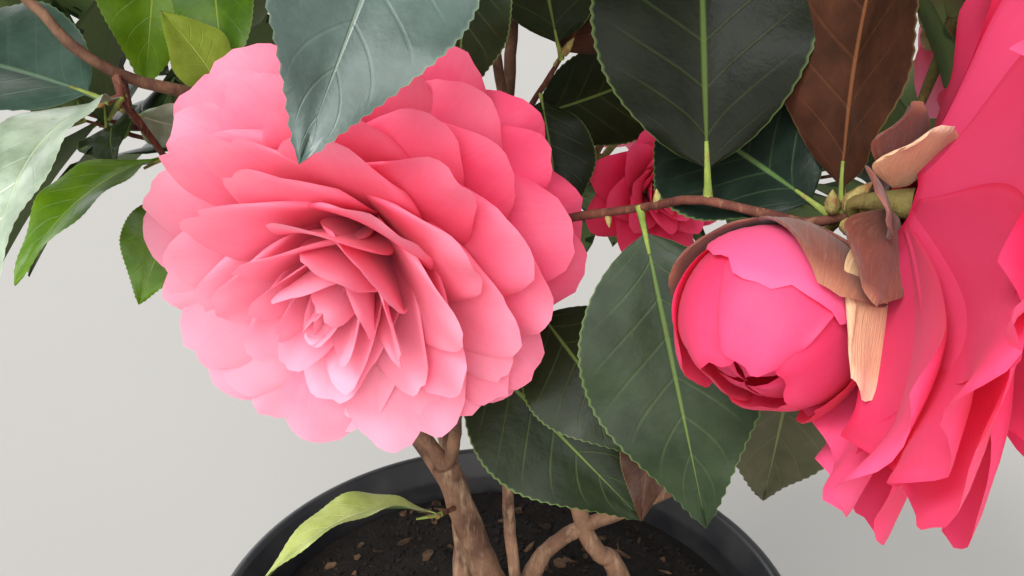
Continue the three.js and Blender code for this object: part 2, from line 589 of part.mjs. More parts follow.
function growLeaf(name, where, outward, k, step, own, rnd) {
  const length = LEAF.length[0] + (LEAF.length[1] - LEAF.length[0]) * rnd();
  const width = length * LEAF.width * (0.92 + 0.16 * rnd());
  const first = k * GOLDEN + 0.7 * rnd();
  const open = radians(step === 0 ? 30 + 25 * rnd() : 48 + 24 * rnd());
  const face = add(add([0, 0, 0.9], mul(outward, 0.55)), mul(where.d, 0.25));
  for (let attempt = 0; attempt < 7; attempt += 1) {
    const about = turn(upright([0.3, 0.2, 1], where.d), where.d, first + attempt * 0.9);
    const d = unit(add(add(mul(where.d, Math.cos(open)), mul(about, Math.sin(open))), [0, 0, -0.16]));
    const scale = attempt > 4 ? 0.8 : 1;
    const tip = add(where.p, mul(d, length * scale));
    const blade = leafBlade(where.p, tip, width * scale, face, LEAF.arch);
    if (inCrown(blade.points) && !inOpenSide(blade.points)
      && clearOf(leafPiece(blade, name), GAP.leaf, own)) {
      return blade;
    }
  }
  return null;
}

function addSpray(spray, index) {
  const rnd = randomFrom(SEED + 97 * index);
  const { name } = spray;
  const root = placeOn(limbs[spray.on].path, spray.at);
  const heart = [CROWN.centre[0], CROWN.centre[1], CROWN.centre[2] - 60];
  const outward = unit(sub(root.p, heart));
  const lean = unit(spray.lean ?? add(mul(root.d, 0.7), mul(outward, 0.6)));
  const reach = TWIG.reach[0] + TWIG.reach[1] * rnd();
  const main = growTwig(root.p, lean, reach, [Math.min(TWIG.root, root.r), TWIG.tip], rnd);
  const twigs = addForks(name, main, reach, spray.leaves > 12 ? 3 : 2, rnd);
  const parts = twigs.map((twig) => solidOfRings(ringsOf(twig, 3, false)));
  const own = twigs.flatMap((twig) => limbPieces(twig, name));
  pieces.push(...own);
  let misses = 0;
  for (let k = 0; parts.length < twigs.length + spray.leaves && misses < 10; k += 1) {
    const step = Math.floor(k / twigs.length);
    const where = placeOn(twigs[k % twigs.length], Math.max(0.98 - step * TWIG.pitch, 0.16));
    const blade = growLeaf(name, where, outward, k, step, own, rnd);
    misses = blade ? 0 : misses + 1;
    if (blade) {
      pieces.push(leafPiece(blade, name));
      parts.push(closedSolid(blade.points, blade.faces));
    }
  }
  nodes.push({ name, parts, on: spray.on, finish: FINISH.leaf });
}

// The pot: tapered wall, band and rolled bead at the rim, drain holes off the centre
function potRadius(z) {
  return POT.foot + ((POT.rim - POT.foot - 3) * z) / POT.height;
}

// A profile of radius and height turned about the upright axis, with flat ends
function turnedSolid(profile, sides, shift) {
  const geometry = new THREE.LatheGeometry(profile.map(([r, z]) => new THREE.Vector2(r, z)), sides);
  const at = geometry.attributes.position;
  const rows = profile.length;
  const points = [];
  for (let k = 0; k < sides * rows; k += 1) {
    points.push(shift([at.getX(k), -at.getZ(k), at.getY(k)]));
  }
  const low = points.length;
  const high = low + 1;
  points.push([0, 0, profile[0][1]], [0, 0, profile[rows - 1][1]]);
  const faces = [];
  for (let k = 0; k < sides; k += 1) {
    const a = k * rows;
    const b = ((k + 1) % sides) * rows;
    for (let i = 0; i < rows - 1; i += 1) {
      faces.push([a + i, b + i, b + i + 1], [a + i, b + i + 1, a + i + 1]);
    }
    faces.push([low, b, a], [high, a + rows - 1, b + rows - 1]);
  }
  return closedSolid(points, faces);
}

function potSolid() {
  const { rim, foot, height, wall, floor, band } = POT;
  const profile = [
    [foot - 22, 0], [foot - 2, 0], [foot, 2.4], [potRadius(height - band), height - band],
    [rim - 0.6, height - band + 1.4], [rim + 0.2, height - 5], [rim + 2.2, height - 4.2],
    [rim + 3.1, height - 2], [rim + 2, height - 0.3], [rim, height], [rim - 1.8, height - 0.9],
    [rim - 3, height - 4],
    [potRadius(height - band) - wall, height - band - 1], [foot - wall, floor],
  ];
  let solid = turnedSolid(profile, POT.sides, (p) => p);
  for (let k = 0; k < DRAIN.count; k += 1) {
    const angle = (2 * Math.PI * (k + 0.5)) / DRAIN.count;
    const middle = [DRAIN.ring * Math.cos(angle), DRAIN.ring * Math.sin(angle), 0];
    const rings = roundedRings(middle, [0, 0, 1], [[-1, DRAIN.radius], [floor + 1, DRAIN.radius]], 8);
    solid = solid.subtract(solidOfRings(rings));
  }
  return solid;
}

// The compost fills the pot: flat round the stems, and lumpy towards the wall
function soilSolid() {
  const { foot, floor, wall, height, band } = POT;
  const slope = (potRadius(height - band) - foot) / (height - band - 1 - floor);
  const inner = (z) => foot - wall - CLEAR - 0.1 + slope * (z - floor);
  const low = floor + CLEAR;
  const profile = [[40, low], [inner(low), low], [inner(SOIL_TOP), SOIL_TOP - 1.5], [106, SOIL_TOP],
    [90, SOIL_TOP], [74, SOIL_TOP]];
  return turnedSolid(profile, POT.sides, (p) => {
    const r = Math.hypot(p[0], p[1]);
    if (p[2] < SOIL_TOP - 1 || r < 75 || r > 110) return p;
    const angle = Math.atan2(p[1], p[0]);
    return [p[0], p[1], p[2] + 2.6 * Math.sin(3 * angle + r * 0.2) + 1.6 * Math.sin(7 * angle - r * 0.13)];
  });
}

// The parts of a node in one body, cut clear of what it hangs on
function fused(node) {
  let solid = largest(wasm.Manifold.union(node.parts));
  for (const name of [node.on, node.beside]) {
    if (name) solid = solid.subtract(limbs[name].fat);
  }
  return largest(solid).simplify(SMALLEST);
}

function meshOf(name, solid, finish) {
  const mesh = solid.getMesh();
  const geometry = new THREE.BufferGeometry();
  const stride = mesh.numProp;
  const at = new Float32Array(mesh.numVert * 3);
  for (let i = 0; i < mesh.numVert; i += 1) {
    for (let j = 0; j < 3; j += 1) {
      at[3 * i + j] = mesh.vertProperties[stride * i + j];
    }
  }
  geometry.setAttribute('position', new THREE.BufferAttribute(at, 3));
  geometry.setIndex(new THREE.BufferAttribute(new Uint32Array(mesh.triVerts), 1));
  const out = new THREE.Mesh(geometry, new THREE.MeshStandardMaterial({ ...finish, metalness: 0 }));
  out.name = name;
  return out;
}

function potPiece() {
  const rings = [0, POT.height + 1].map((z) => (
    roundedRings([0, 0, z], [0, 0, 1], [[0, POT.rim + 4]], 16)[0]));
  const normals = [[0, 0, 1]];
  for (let k = 0; k < 8; k += 1) {
    const angle = (Math.PI * (k + 0.5)) / 8;
    normals.push([Math.cos(angle), Math.sin(angle), 0]);
  }
  return pieceOf(rings.flat(), normals, [[0, 0, 1]], 'pot');
}

function addBough([name, bough]) {
  const points = [placeOn(limbs[bough.from].path, bough.at).p, ...bough.via, bough.tip];
  const [thick, thin] = bough.radii;
  const rows = points.map((p, k) => [...p, thick + ((thin - thick) * k) / (points.length - 1)]);
  addLimb(name, smooth(rows, rows.length > 4 ? 1 : 2), 5, false);
}

// Put the plant together: limbs first, then what is on the front, then the sprays
pieces.push(potPiece());
for (const [name, rows] of Object.entries(STEMS)) {
  addLimb(name, smooth(rows, 2), 8, true);
}
Object.entries(BOUGHS).forEach(addBough);
FRONT_SPRAYS.forEach(addFrontSpray);
BLOOMS.forEach(addBloom);
SPRAYS.forEach(addSpray);

const group = new THREE.Group();
group.name = 'camellia';
group.add(meshOf('pot', potSolid(), FINISH.pot));
group.add(meshOf('soil', soilSolid(), FINISH.soil));
for (const node of nodes) {
  group.add(meshOf(node.name, fused(node), node.finish));
}

export default group;
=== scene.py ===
"""A flowering camellia shrub in a round black nursery pot, dressed round its fixed frame.

The growth rule works in millimetres, as the frame's source does. Finished meshes are in metres.
The side towards -Y is the one that the photograph shows.
"""

import functools
import math
import random

import bpy
import numpy as np
from mathutils import Matrix, Vector


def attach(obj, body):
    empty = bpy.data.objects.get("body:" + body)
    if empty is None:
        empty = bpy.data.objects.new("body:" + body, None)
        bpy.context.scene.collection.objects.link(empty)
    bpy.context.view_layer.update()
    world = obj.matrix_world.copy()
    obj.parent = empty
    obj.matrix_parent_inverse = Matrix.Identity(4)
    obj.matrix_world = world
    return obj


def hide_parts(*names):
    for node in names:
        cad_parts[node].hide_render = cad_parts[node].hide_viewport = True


bl_info = {
    "name": "Potted camellia",
    "version": (1, 0, 0),
    "blender": (4, 5, 0),
    "location": "3D View > Sidebar > Camellia",
    "description": "Bark, leaves, blooms, pot and compost of a potted camellia, and a plain stage",
    "category": "Object",
}

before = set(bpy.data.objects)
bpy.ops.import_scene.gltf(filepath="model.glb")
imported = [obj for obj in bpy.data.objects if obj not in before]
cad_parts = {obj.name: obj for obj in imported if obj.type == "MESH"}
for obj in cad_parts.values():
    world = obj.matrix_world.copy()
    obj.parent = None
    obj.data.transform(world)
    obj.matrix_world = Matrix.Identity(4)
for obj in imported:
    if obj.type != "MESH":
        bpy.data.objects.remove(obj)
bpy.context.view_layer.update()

MM = 0.001
GOLDEN = 2.39996  # turn from one leaf or petal to the next, in radians
SHEET = 0.5  # thickness of a leaf or a petal, in millimetres
FORM_SHEET = 0.006  # thickness of a plain leaf, as a part of its length
VEIN_TURNS = 52.0  # radians of side veins along a leaf
SHARP = 70  # degrees from which an edge stays sharp
FOOT_DEPTH = 4  # how far the stems go down into the compost, in millimetres
COMPOST_SIDES = 96
HOLE_SIDES = 24
CHIP_SIDES = 6
FLOOR_REACH = 60000  # millimetres, so that no view shows the floor's edge
SENSOR = 36  # width of the camera's sensor, in millimetres
SEEDS = dict(wood=3, crown=5, front=11, buds=17, chips=23)
# Shares of the frame's girth at which wood is drawn, at its start and at its end
GIRTH = dict(stem=(0.78, 0.74), bough=(0.74, 0.5), twig=(0.74, 0.74), fine=(0.85, 0.85), stalk=(0.8, 0.8))

# The frame's driving sizes, in millimetres, as its source has them
CLEAR = 0.3
POT = dict(rim=125, foot=94, height=220, wall=2.4, floor=3, band=13)
DRAIN = dict(count=6, ring=66, radius=5.5)
SOIL_TOP = 197
GROUND = SOIL_TOP + CLEAR
CROWN = dict(centre=np.array((0.0, 10.0, 440.0)), radius=246, top=682, under=175, slack=1.06)
LEAF = dict(length=(62, 90), width=0.53, thick=1.4, middle=0.34, sunk=0.5, arch=0.035, droop=0.08, fold=0.07)
LEAF_OUTLINE = ((0.27, 0.44), (0.66, 0.42))
TWIG = dict(root=1.9, tip=0.95, fork=(1.4, 0.8), reach=(46, 14), pitch=0.25)
FINE = dict(twigs=11, leaves=6, reach=34, radii=(1.0, 0.6), scale=0.66)
GAP = dict(leaf=0.5, twig=0.8, within=0.1)
SEED = 41

# Stems rise from the compost. Each row is x, y, z and radius.
STEMS = {
    "stem_main": ((2, 3, GROUND, 15), (0, 3, 207, 10.4), (-9, 4, 231, 8.6), (-25, 4, 284, 7.4)),
    "stem_front": ((12, -14, GROUND, 5.5), (8, -13, 214, 3.6), (2, -13, 262, 3.2), (0, -24, 330, 3)),
    "stem_right": (
        (8, 19, GROUND, 8), (15, 14, 228, 5), (33, 8, 250, 4.3), (77, 0, 280, 3.6), (112, 2, 318, 3.1)),
    "stem_centre": (
        (60, 14, GROUND, 9), (47, 10, 232, 5.4), (34, 8, 252, 4.8), (4, 20, 370, 4), (1, 20, 430, 3.5)),
    "stem_back": ((-20, 24, GROUND, 8.5), (-21, 28, 232, 5.2), (-28, 38, 280, 4.7), (-40, 56, 340, 4.1)),
}

# Boughs: the limb they leave, at what part of its length, thick and thin radius, and points on the way
BOUGHS = {
    "bough_left": ("stem_main", 1, (4.8, 1.7), (
        (-37, 2, 306), (-58, -8, 370), (-74, -35, 432), (-104.2, -70.6, 452.4), (-120.8, -74.6, 470.6),
        (-135, -78, 487))),
    "bough_bloom": ("stem_main", 1, (4.2, 2.3), ((-20, 0, 308), (-26, -16, 360), (-29.5, -47, 404))),
    "bough_left_low": ("stem_main", 0.86, (3.8, 2), ((-62, 26, 322), (-100, 40, 362), (-130, 46, 402))),
    "bough_front": ("stem_front", 1, (2.9, 2.1), ((0, -38, 378), (5.2, -60, 407))),
    "bough_right": ("stem_right", 1, (3, 1.8), ((136, 4, 352), (152, 8, 402))),
    "bough_right_back": ("stem_right", 0.72, (3, 1.9), ((98, 42, 318), (126, 84, 372))),
    "bough_right_front": ("stem_right", 0.95, (2.8, 1.8), ((140, -26, 356), (160, -48, 430))),
    "bough_top": ("stem_centre", 1, (3.4, 1.9), ((4, 18, 490), (2, 10, 556))),
    "bough_top_front": ("stem_centre", 0.97, (2.8, 1.8), ((-6, -16, 478), (-10, -62, 517))),
    "bough_top_right": ("stem_centre", 0.9, (3, 1.8), ((46, 16, 456), (98, -2, 512))),
    "bough_back_right": ("stem_centre", 0.72, (3.2, 1.9), ((42, 62, 410), (82, 108, 462))),
    "bough_back_top": ("bough_top", 0.35, (2.6, 1.8), ((12, 62, 508), (18, 98, 552))),
    "bough_back": ("stem_back", 1, (3.4, 1.9), ((-32, 92, 388), (-18, 128, 436))),
    "bough_back_left": ("stem_back", 0.94, (3.2, 1.9), ((-82, 78, 384), (-120, 92, 436))),
    "bough_top_left": ("stem_back", 0.8, (3.4, 1.8), ((-58, 44, 410), (-72, 34, 460), (-92, 20, 512))),
    "bough_back_low": ("stem_back", 0.6, (2.8, 1.8), ((-8, 82, 322), (24, 122, 362))),
}

# Masses grown by rule: name, limb, part of its length, leaves, leaf finish and lean
SPRAYS = (
    ("leaves_top_1", "bough_top", 1, 13, "mid", None),
    ("leaves_top_2", "bough_top", 0.62, 11, "deep", (-0.9, -0.1, 0.4)),
    ("leaves_top_right_1", "bough_top_right", 1, 13, "deep", None),
    ("leaves_top_right_2", "bough_top_right", 0.6, 11, "deep", (0.1, 0.4, 0.9)),
    ("leaves_top_front_1", "bough_top_front", 0.72, 14, "deep", (-0.35, -0.5, 0.9)),
    ("leaves_top_left_1", "bough_top_left", 1, 13, "fresh", None),
    ("leaves_back_top_1", "bough_back_top", 1, 13, "mid", None),
    ("leaves_back_right_1", "bough_back_right", 1, 13, "deep", None),
    ("leaves_back_right_2", "bough_back_right", 0.62, 10, "mid", (0.9, 0.1, 0.3)),
    ("leaves_back_1", "bough_back", 1, 13, "mid", None),
    ("leaves_back_left_1", "bough_back_left", 1, 13, "deep", None),
    ("leaves_back_low_1", "bough_back_low", 1, 13, "deep", None),
    ("leaves_left_1", "bough_left", 1, 13, "mid", None),
    ("leaves_left_low_1", "bough_left_low", 1, 13, "deep", None),
    ("leaves_right_1", "bough_right", 1, 13, "mid", None),
    ("leaves_right_back_1", "bough_right_back", 1, 13, "deep", None),
    ("leaves_right_front_1", "bough_right_front", 1, 13, "fresh", None),
)

# Sprays on the front. A twig has rows of x, y, z and radius. A leaf has its finish, base, tip, width,
# roll about the midrib, and what differs from the plain leaf.
FRONT_SPRAYS = {
    "spray_front_right": (
        (((5.2, -60, 407, 2), (17.4, -78.2, 414.1, 1.7), (35.2, -94.7, 421.2, 1.5), (47, -113.6, 427.9, 1.4),
          (65.3, -125, 425.9, 1.5), (74.5, -128.3, 428.4, 1.7)),
         ((56, -119, 427, 1.3), (64, -104, 420, 1.1), (82, -90, 401, 1))),
        # painted shade on the next leaf: a darkened green for a leaf that lies in shade
        (("dark", (47.7, -113.4, 428.4), (46.5, -76.6, 511.9), 50, 0, {}),
         ("bronze", (73, -127.5, 428.1), (78, -114, 508), 42, -52, {}),
         # painted shade on the next leaf: a darkened teal for a leaf that lies in shade
         ("painted_shade_teal", (70.7, -125.7, 428), (42.1, -66.6, 445.8), 42, 12, {}),
         ("dull", (35.2, -95.1, 420.9), (51.7, -125.6, 345.3), 45, 0, {}),
         ("olive", (81.4, -90.4, 401.8), (81.1, -80.7, 319.5), 42, -10, {}))),
    "spray_lower": (
        (((0.7, -45, 390, 1.9), (4, -56, 385, 1.7), (16, -66, 378, 1.4), (30, -75, 370, 1.2),
          (46, -83.5, 363, 1)),
         ((2, -50, 387, 1.5), (-6, -57, 377, 1.3), (-14, -60, 369, 1.1))),
        (("deep", (-12.6, -59.3, 370.5), (42.2, -91.6, 324.7), 45, 0, {}),
         ("deep", (9.8, -61, 381.8), (41.4, -99, 350.8), 38, 8, {}),
         ("bronze", (44.5, -82.7, 363.6), (39.2, -101, 331.4), 16, 0, {}))),
    "spray_upper": (
        (((-10, -62, 517, 1.8), (-12, -80, 516, 1.5), (-15, -97, 508, 1.2)),
         ((-10.6, -68, 516.7, 1.4), (-6, -66, 500, 1.1), (-6, -58, 490, 0.9))),
        # partly painted reflection on the next leaf: a grey cast for the sky reflected in its gloss
        (("painted_sky_grey", (-14.6, -95.4, 508.8), (-37.5, -139.9, 443.4), 44, 0, {}),
         ("deep", (-6, -59.3, 491.6), (-14.3, -62, 440), 30, 25, {}),
         ("deep", (-13, -86, 512.5), (32, -118, 552), 44, 35, {}),
         ("mid", (-11.2, -74, 516.4), (-74, -92, 548), 45, 30, {}),
         ("mid", (-14, -92, 510), (-20, -150, 565), 46, 75, {}))),
    "spray_left": (
        (((-103.4, -69.8, 452, 1.7), (-101.2, -73.6, 446, 1.5), (-99, -67, 436, 1.3), (-97, -59, 425, 1.1),
          (-95, -55, 416, 0.9)),
         ((-101.4, -73.2, 446.6, 1.2), (-107, -72, 444.6, 1))),
        (("teal", (-106, -72.2, 445), (-179.7, -52, 462), 46, 40, {}),
         # painted highlight: the two pale leaves below stand for the glare of light on glossy leaves
         ("painted_highlight", (-101.2, -73.4, 446), (-112, -134, 416), 46, -62,
          dict(lift=0.1, tilt=125, slim=0.62, droop=0.1)),
         ("painted_highlight", (-100.2, -70.6, 441.5), (-86, -58, 434), 17, 40, {}),
         ("fresh", (-97.4, -60.6, 427.6), (-124.3, -102.2, 406.6), 34, 62, dict(lift=0.07, slim=0.66)),
         ("fresh", (-95.2, -55.6, 417.2), (-105.6, -75, 387.8), 22, 10, {}))),
    "spray_left_back": (
        (((-83, 27, 489, 1.8), (-96, 12, 492, 1.4), (-103, 4, 500, 1.1), (-118, 14, 507, 1)),
         ((-89, 20, 490.4, 1.4), (-92, -2, 462, 1.2), (-92.5, -18, 437, 1))),
        (("fresh", (-117, 13.6, 506.5), (-126.3, -0.5, 440.2), 38, 0, {}),
         ("lime", (-92.3, -17, 438.4), (-105.2, -26.6, 467.4), 24, 35, {}),
         ("fresh", (-99.1, 8.5, 495.6), (-94.7, -14, 440.2), 28, 20, {}))),
    "spray_behind": (
        (((1.6, 20, 416, 1.8), (8, 6, 430, 1.5), (14, -4, 442, 1.2), (20, -8, 452, 1)),),
        (("deep", (12.6, -1.8, 439), (20, -30, 396), 30, -15, {}),
         ("bronze", (18, -6.6, 449), (52, -16, 506), 40, 0, {}),
         ("deep", (7.4, 7.2, 428.6), (74, 4, 452), 42, 30, {}),
         ("deep", (19.4, -7.7, 451.4), (4, -36, 520), 40, -20, {}))),
    "spray_foot": (
        (((-20, 4, 264, 1.6), (-24, -10, 271, 1.3), (-26, -24, 279, 1.1)),),
        (("pale", (-25.7, -22, 278), (-86, -62, 283), 22, 64, dict(arch=0.24, lift=-0.08)),)),
}

# Blooms: name, limb, part of its length or the stalk's start, centre, radius, axis and kind
BLOOMS = (
    ("bloom_front", "bough_bloom", 1, (-39.8, -87.7, 408.4), 57, (-0.276, -0.935, -0.228), "front"),
    ("bud_right", None, (74.5, -128.3, 428.4), (58.8, -133, 405), 21.2, (-0.5, -0.62, -0.62), "bud"),
    ("bloom_right", None, (75.4, -129, 428), (100, -144, 429.5), 62, (0.91, -0.32, -0.19), "right"),
    ("bloom_behind", "bough_top_right", 0.2, (56, -3, 404), 28, (0.35, -0.86, 0.1), "deep"),
    ("bloom_top", "bough_top_right", 0.62, (58, -60, 578), 46, (0.35, -0.75, 0.55), "pale"),
    ("bloom_top_left", "bough_top_left", 0.9, (-150, -24, 572), 46, (-0.75, -0.4, 0.5), "pale"),
    ("bloom_top_right", "bough_top_right", 0.75, (160, -44, 560), 48, (0.75, -0.4, 0.45), "deep"),
    ("bloom_right_side", "bough_right", 0.7, (196, 58, 462), 47, (0.93, 0.3, 0.1), "pale"),
    ("bloom_back_right", "bough_back_right", 0.8, (124, 142, 528), 47, (0.6, 0.74, 0.3), "deep"),
    ("bloom_back", "bough_back", 0.8, (-64, 184, 494), 48, (-0.25, 0.95, 0.15), "pale"),
    ("bloom_back_left", "bough_back_left", 0.8, (-184, 96, 502), 46, (-0.85, 0.45, 0.25), "deep"),
    ("bloom_back_low", "bough_back_low", 0.6, (84, 176, 414), 42, (0.45, 0.88, -0.1), "pale"),
)
BLOOM_HULL = ((-0.34, 0.1), (-0.24, 1.03), (0.3, 1.05), (0.62, 0.6), (0.72, 0.16))
BUD_PROFILE = ((-1.05, 0.14), (-0.9, 0.52), (-0.4, 0.93), (0.1, 1.02), (0.6, 0.86), (0.98, 0.5), (1.14, 0.16))
HULL_AXES = 13

# The camera, whose place also bounds the open side of the crown. Windows are boxes in pixels of the
# photograph and the depth up to which they stay empty.
LOOK = dict(at=np.array((2.8, -299.0, 474.0)), pitch=20, focal=830, centre=(512, 288), least=20, room=60)
PHOTO_WIDTH = 1024
OPEN = (
    ((-60, -60, 1084, 640), 268),
    ((-60, 285, 250, 640), 900),
    ((-60, 428, 1084, 640), 900),
    ((560, 225, 760, 640), 360),
)


# Vectors and paths

def vec(*values):
    return np.array(values, float)


def length_of(v):
    return math.sqrt(float(v @ v))


def unit(v):
    return v / (length_of(v) or 1)


def upright(v, d):
    """The part of v that stands square to d, one long."""
    flat = v - d * (v @ d)
    return unit(flat) if length_of(flat) > 1e-6 else unit(np.cross(d, (1, 0.3, 0.2)))


def turn(v, axis, angle):
    c, s = math.cos(angle), math.sin(angle)
    return v * c + np.cross(axis, v) * s + axis * (axis @ v) * (1 - c)


def off_twig(way, angle):
    """A direction square to a twig's own, at an angle round it."""
    return turn(upright(vec(0.3, 0.2, 1), way), way, angle)


def smooth(rows, steps):
    """A smooth path through rows of x, y, z and radius."""
    rows = np.array(rows, float)
    last = len(rows) - 1
    out = []
    for i in range(last):
        a, b, c, d = rows[max(i - 1, 0)], rows[i], rows[i + 1], rows[min(i + 2, last)]
        for k in range(steps):
            t = k / steps
            out.append(0.5 * (2 * b + (c - a) * t + (2 * a - 5 * b + 4 * c - d) * t * t
                              + (3 * b - a - 3 * c + d) * t ** 3))
    out.append(rows[last])
    return np.array(out)


def place_on(path, fraction):
    """Point, radius and direction at a part of a path."""
    x = fraction * (len(path) - 1)
    i = min(math.floor(x), len(path) - 2)
    row = path[i] * (1 - (x - i)) + path[i + 1] * (x - i)
    return row[:3], row[3], unit(path[i + 1][:3] - path[i][:3])


def random_from(seed):
    """The frame's own seeded numbers from 0 to 1."""
    mask = 0xFFFFFFFF
    state = seed & mask

    def draw():
        nonlocal state
        state = (state + 0x6D2B79F5) & mask
        t = ((state ^ (state >> 15)) * (1 | state)) & mask
        t = ((t + (((t ^ (t >> 7)) * (61 | t)) & mask)) & mask) ^ t
        return (t ^ (t >> 14)) / 4294967296

    return draw


# Convex pieces, for telling whether two things keep clear of each other

class Convex:
    """A convex body: its points, the directions of its faces and edges, and the ball round it."""

    def __init__(self, points, normals, edges, node):
        self.points = np.array(points, float)
        self.normals = np.array(normals, float)
        self.edges = np.array(edges, float)
        self.node = node
        self.centre = self.points.mean(axis=0)
        self.radius = float(np.linalg.norm(self.points - self.centre, axis=1).max())

    def apart(self, other, gap):
        between = other.centre - self.centre
        if length_of(between) > self.radius + other.radius + gap:
            return True
        crosses = np.cross(self.edges[:, None], other.edges[None]).reshape(-1, 3)
        sizes = np.linalg.norm(crosses, axis=1)
        crosses = crosses[sizes > 0.05] / sizes[sizes > 0.05, None]
        axes = np.vstack((unit(between)[None], self.normals, other.normals, crosses))
        mine, theirs = axes @ self.points.T, axes @ other.points.T
        split = (theirs.min(1) > mine.max(1) + gap) | (mine.min(1) > theirs.max(1) + gap)
        return bool(split.any())


def limb_pieces(path, node):
    """The frame's limb as six-sided convex pieces, one for each stretch of its path."""
    pieces = []
    for low, high in zip(path[:-1], path[1:]):
        d = unit(high[:3] - low[:3])
        across = upright(vec(1, 0, 0), d)
        side = np.cross(d, across)
        spokes = [across * math.cos(k * math.pi / 3) + side * math.sin(k * math.pi / 3) for k in range(6)]
        rings = [[row[:3] + spoke * row[3] for spoke in spokes] for row in (low, high)]
        middles = [(rings[0][k] + rings[0][k + 1]) / 2 for k in range(3)]
        normals = [d] + [upright(p - low[:3], d) for p in middles]
        pieces.append(Convex(rings[0] + rings[1], normals, [d], node))
    return pieces


def blade_points(leaf):
    """The frame's own leaf: a lens of six points round its edge and two at its middle."""
    d, n = leaf["d"], leaf["n"]
    s = np.cross(d, n)
    size, width = leaf["length"], leaf["width"]

    def put(x, y, z):
        return leaf["base"] + d * (x * size) + s * y + n * z

    def rise(x):
        return leaf["arch"] * size * 4 * x * (1 - x) - LEAF["droop"] * size * x * x

    def edge(sign):
        return [put(x, sign * w * width, rise(x) + LEAF["fold"] * w * width) for x, w in LEAF_OUTLINE]

    rim = [put(-LEAF["sunk"] / size, 0, 0)] + edge(1) + [put(1, 0, rise(1))] + edge(-1)[::-1]
    middle, half = LEAF["middle"], LEAF["thick"] / 2
    return rim + [put(middle, 0, rise(middle) + half), put(middle, 0, rise(middle) - half)], s


def leaf_from(base, tip, width, face, arch, finish, extra=None):
    """A leaf from its base to its tip, its upper side turned as far as it can be to face one way."""
    d = unit(tip - base)
    return dict(base=base, d=d, n=upright(face, d), length=length_of(tip - base), width=width, arch=arch,
                finish=finish, extra=extra or {})


def leaf_piece(leaf, node):
    points, s = blade_points(leaf)
    faces = [(k, (k + 1) % 6, 6) for k in range(6)] + [((k + 1) % 6, k, 7) for k in range(6)]
    p = np.array(points)
    normals = [unit(np.cross(p[b] - p[a], p[c] - p[a])) for a, b, c in faces]
    rims = [unit(p[k + 1] - p[k]) for k in range(3)]
    return Convex(points, normals, [leaf["d"], s] + rims, node)


def bloom_piece(centre, axis, profile, node):
    across = upright(vec(0.2, 0.1, 1), axis)
    side = np.cross(axis, across)
    points = []
    for x, r in profile:
        for k in range(10):
            angle = 2 * math.pi * k / 10
            points.append(centre + axis * x + across * math.cos(angle) * r + side * math.sin(angle) * r)
    normals = [axis]
    for k in range(HULL_AXES):
        z = -0.9 + 1.8 * k / (HULL_AXES - 1)
        flat = math.sqrt(1 - z * z)
        normals.append(vec(flat * math.cos(k * GOLDEN), flat * math.sin(k * GOLDEN), z))
    return Convex(points, normals, [axis], node)


def pot_piece():
    spokes = [vec(math.cos(a), math.sin(a), 0) for a in np.arange(16) * math.pi / 8]
    # the frame's ring starts from a direction square to the upright axis
    across = upright(vec(0.2, 0.1, 1), vec(0, 0, 1))
    side = np.cross(vec(0, 0, 1), across)
    points = [vec(0, 0, z) + (across * s[0] + side * s[1]) * (POT["rim"] + 4)
              for z in (0, POT["height"] + 1) for s in spokes]
    normals = [vec(0, 0, 1)]
    middles = [math.pi * (k + 0.5) / 8 for k in range(8)]
    normals += [vec(math.cos(a), math.sin(a), 0) for a in middles]
    return Convex(points, normals, [vec(0, 0, 1)], "pot")


def outwards(point):
    """The way out of the crown from a point in it."""
    return unit(point - (CROWN["centre"] - vec(0, 0, 60)))


def in_crown(points):
    """Whether all the points are inside the crown."""
    for p in points:
        out = p - CROWN["centre"]
        flat = math.hypot(out[0], out[1]) / CROWN["radius"]
        high = out[2] / (CROWN["top"] - CROWN["centre"][2] if out[2] > 0 else CROWN["under"])
        if flat * flat + high * high >= CROWN["slack"]:
            return False
    return True


def in_open_side(points):
    """Whether a point hangs in a window of the open side that stays empty."""
    pitch = math.radians(LOOK["pitch"])
    for p in points:
        v = p - LOOK["at"]
        depth = v[1] * math.cos(pitch) - v[2] * math.sin(pitch)
        if depth < LOOK["least"]:
            if p[1] < LOOK["at"][1] + LOOK["room"]:
                return True
            continue
        scale = LOOK["focal"] / depth
        x = LOOK["centre"][0] + scale * v[0]
        y = LOOK["centre"][1] - scale * (v[1] * math.sin(pitch) + v[2] * math.cos(pitch))
        if any(depth < nearer and box[0] < x < box[2] and box[1] < y < box[3] for box, nearer in OPEN):
            return True
    return False


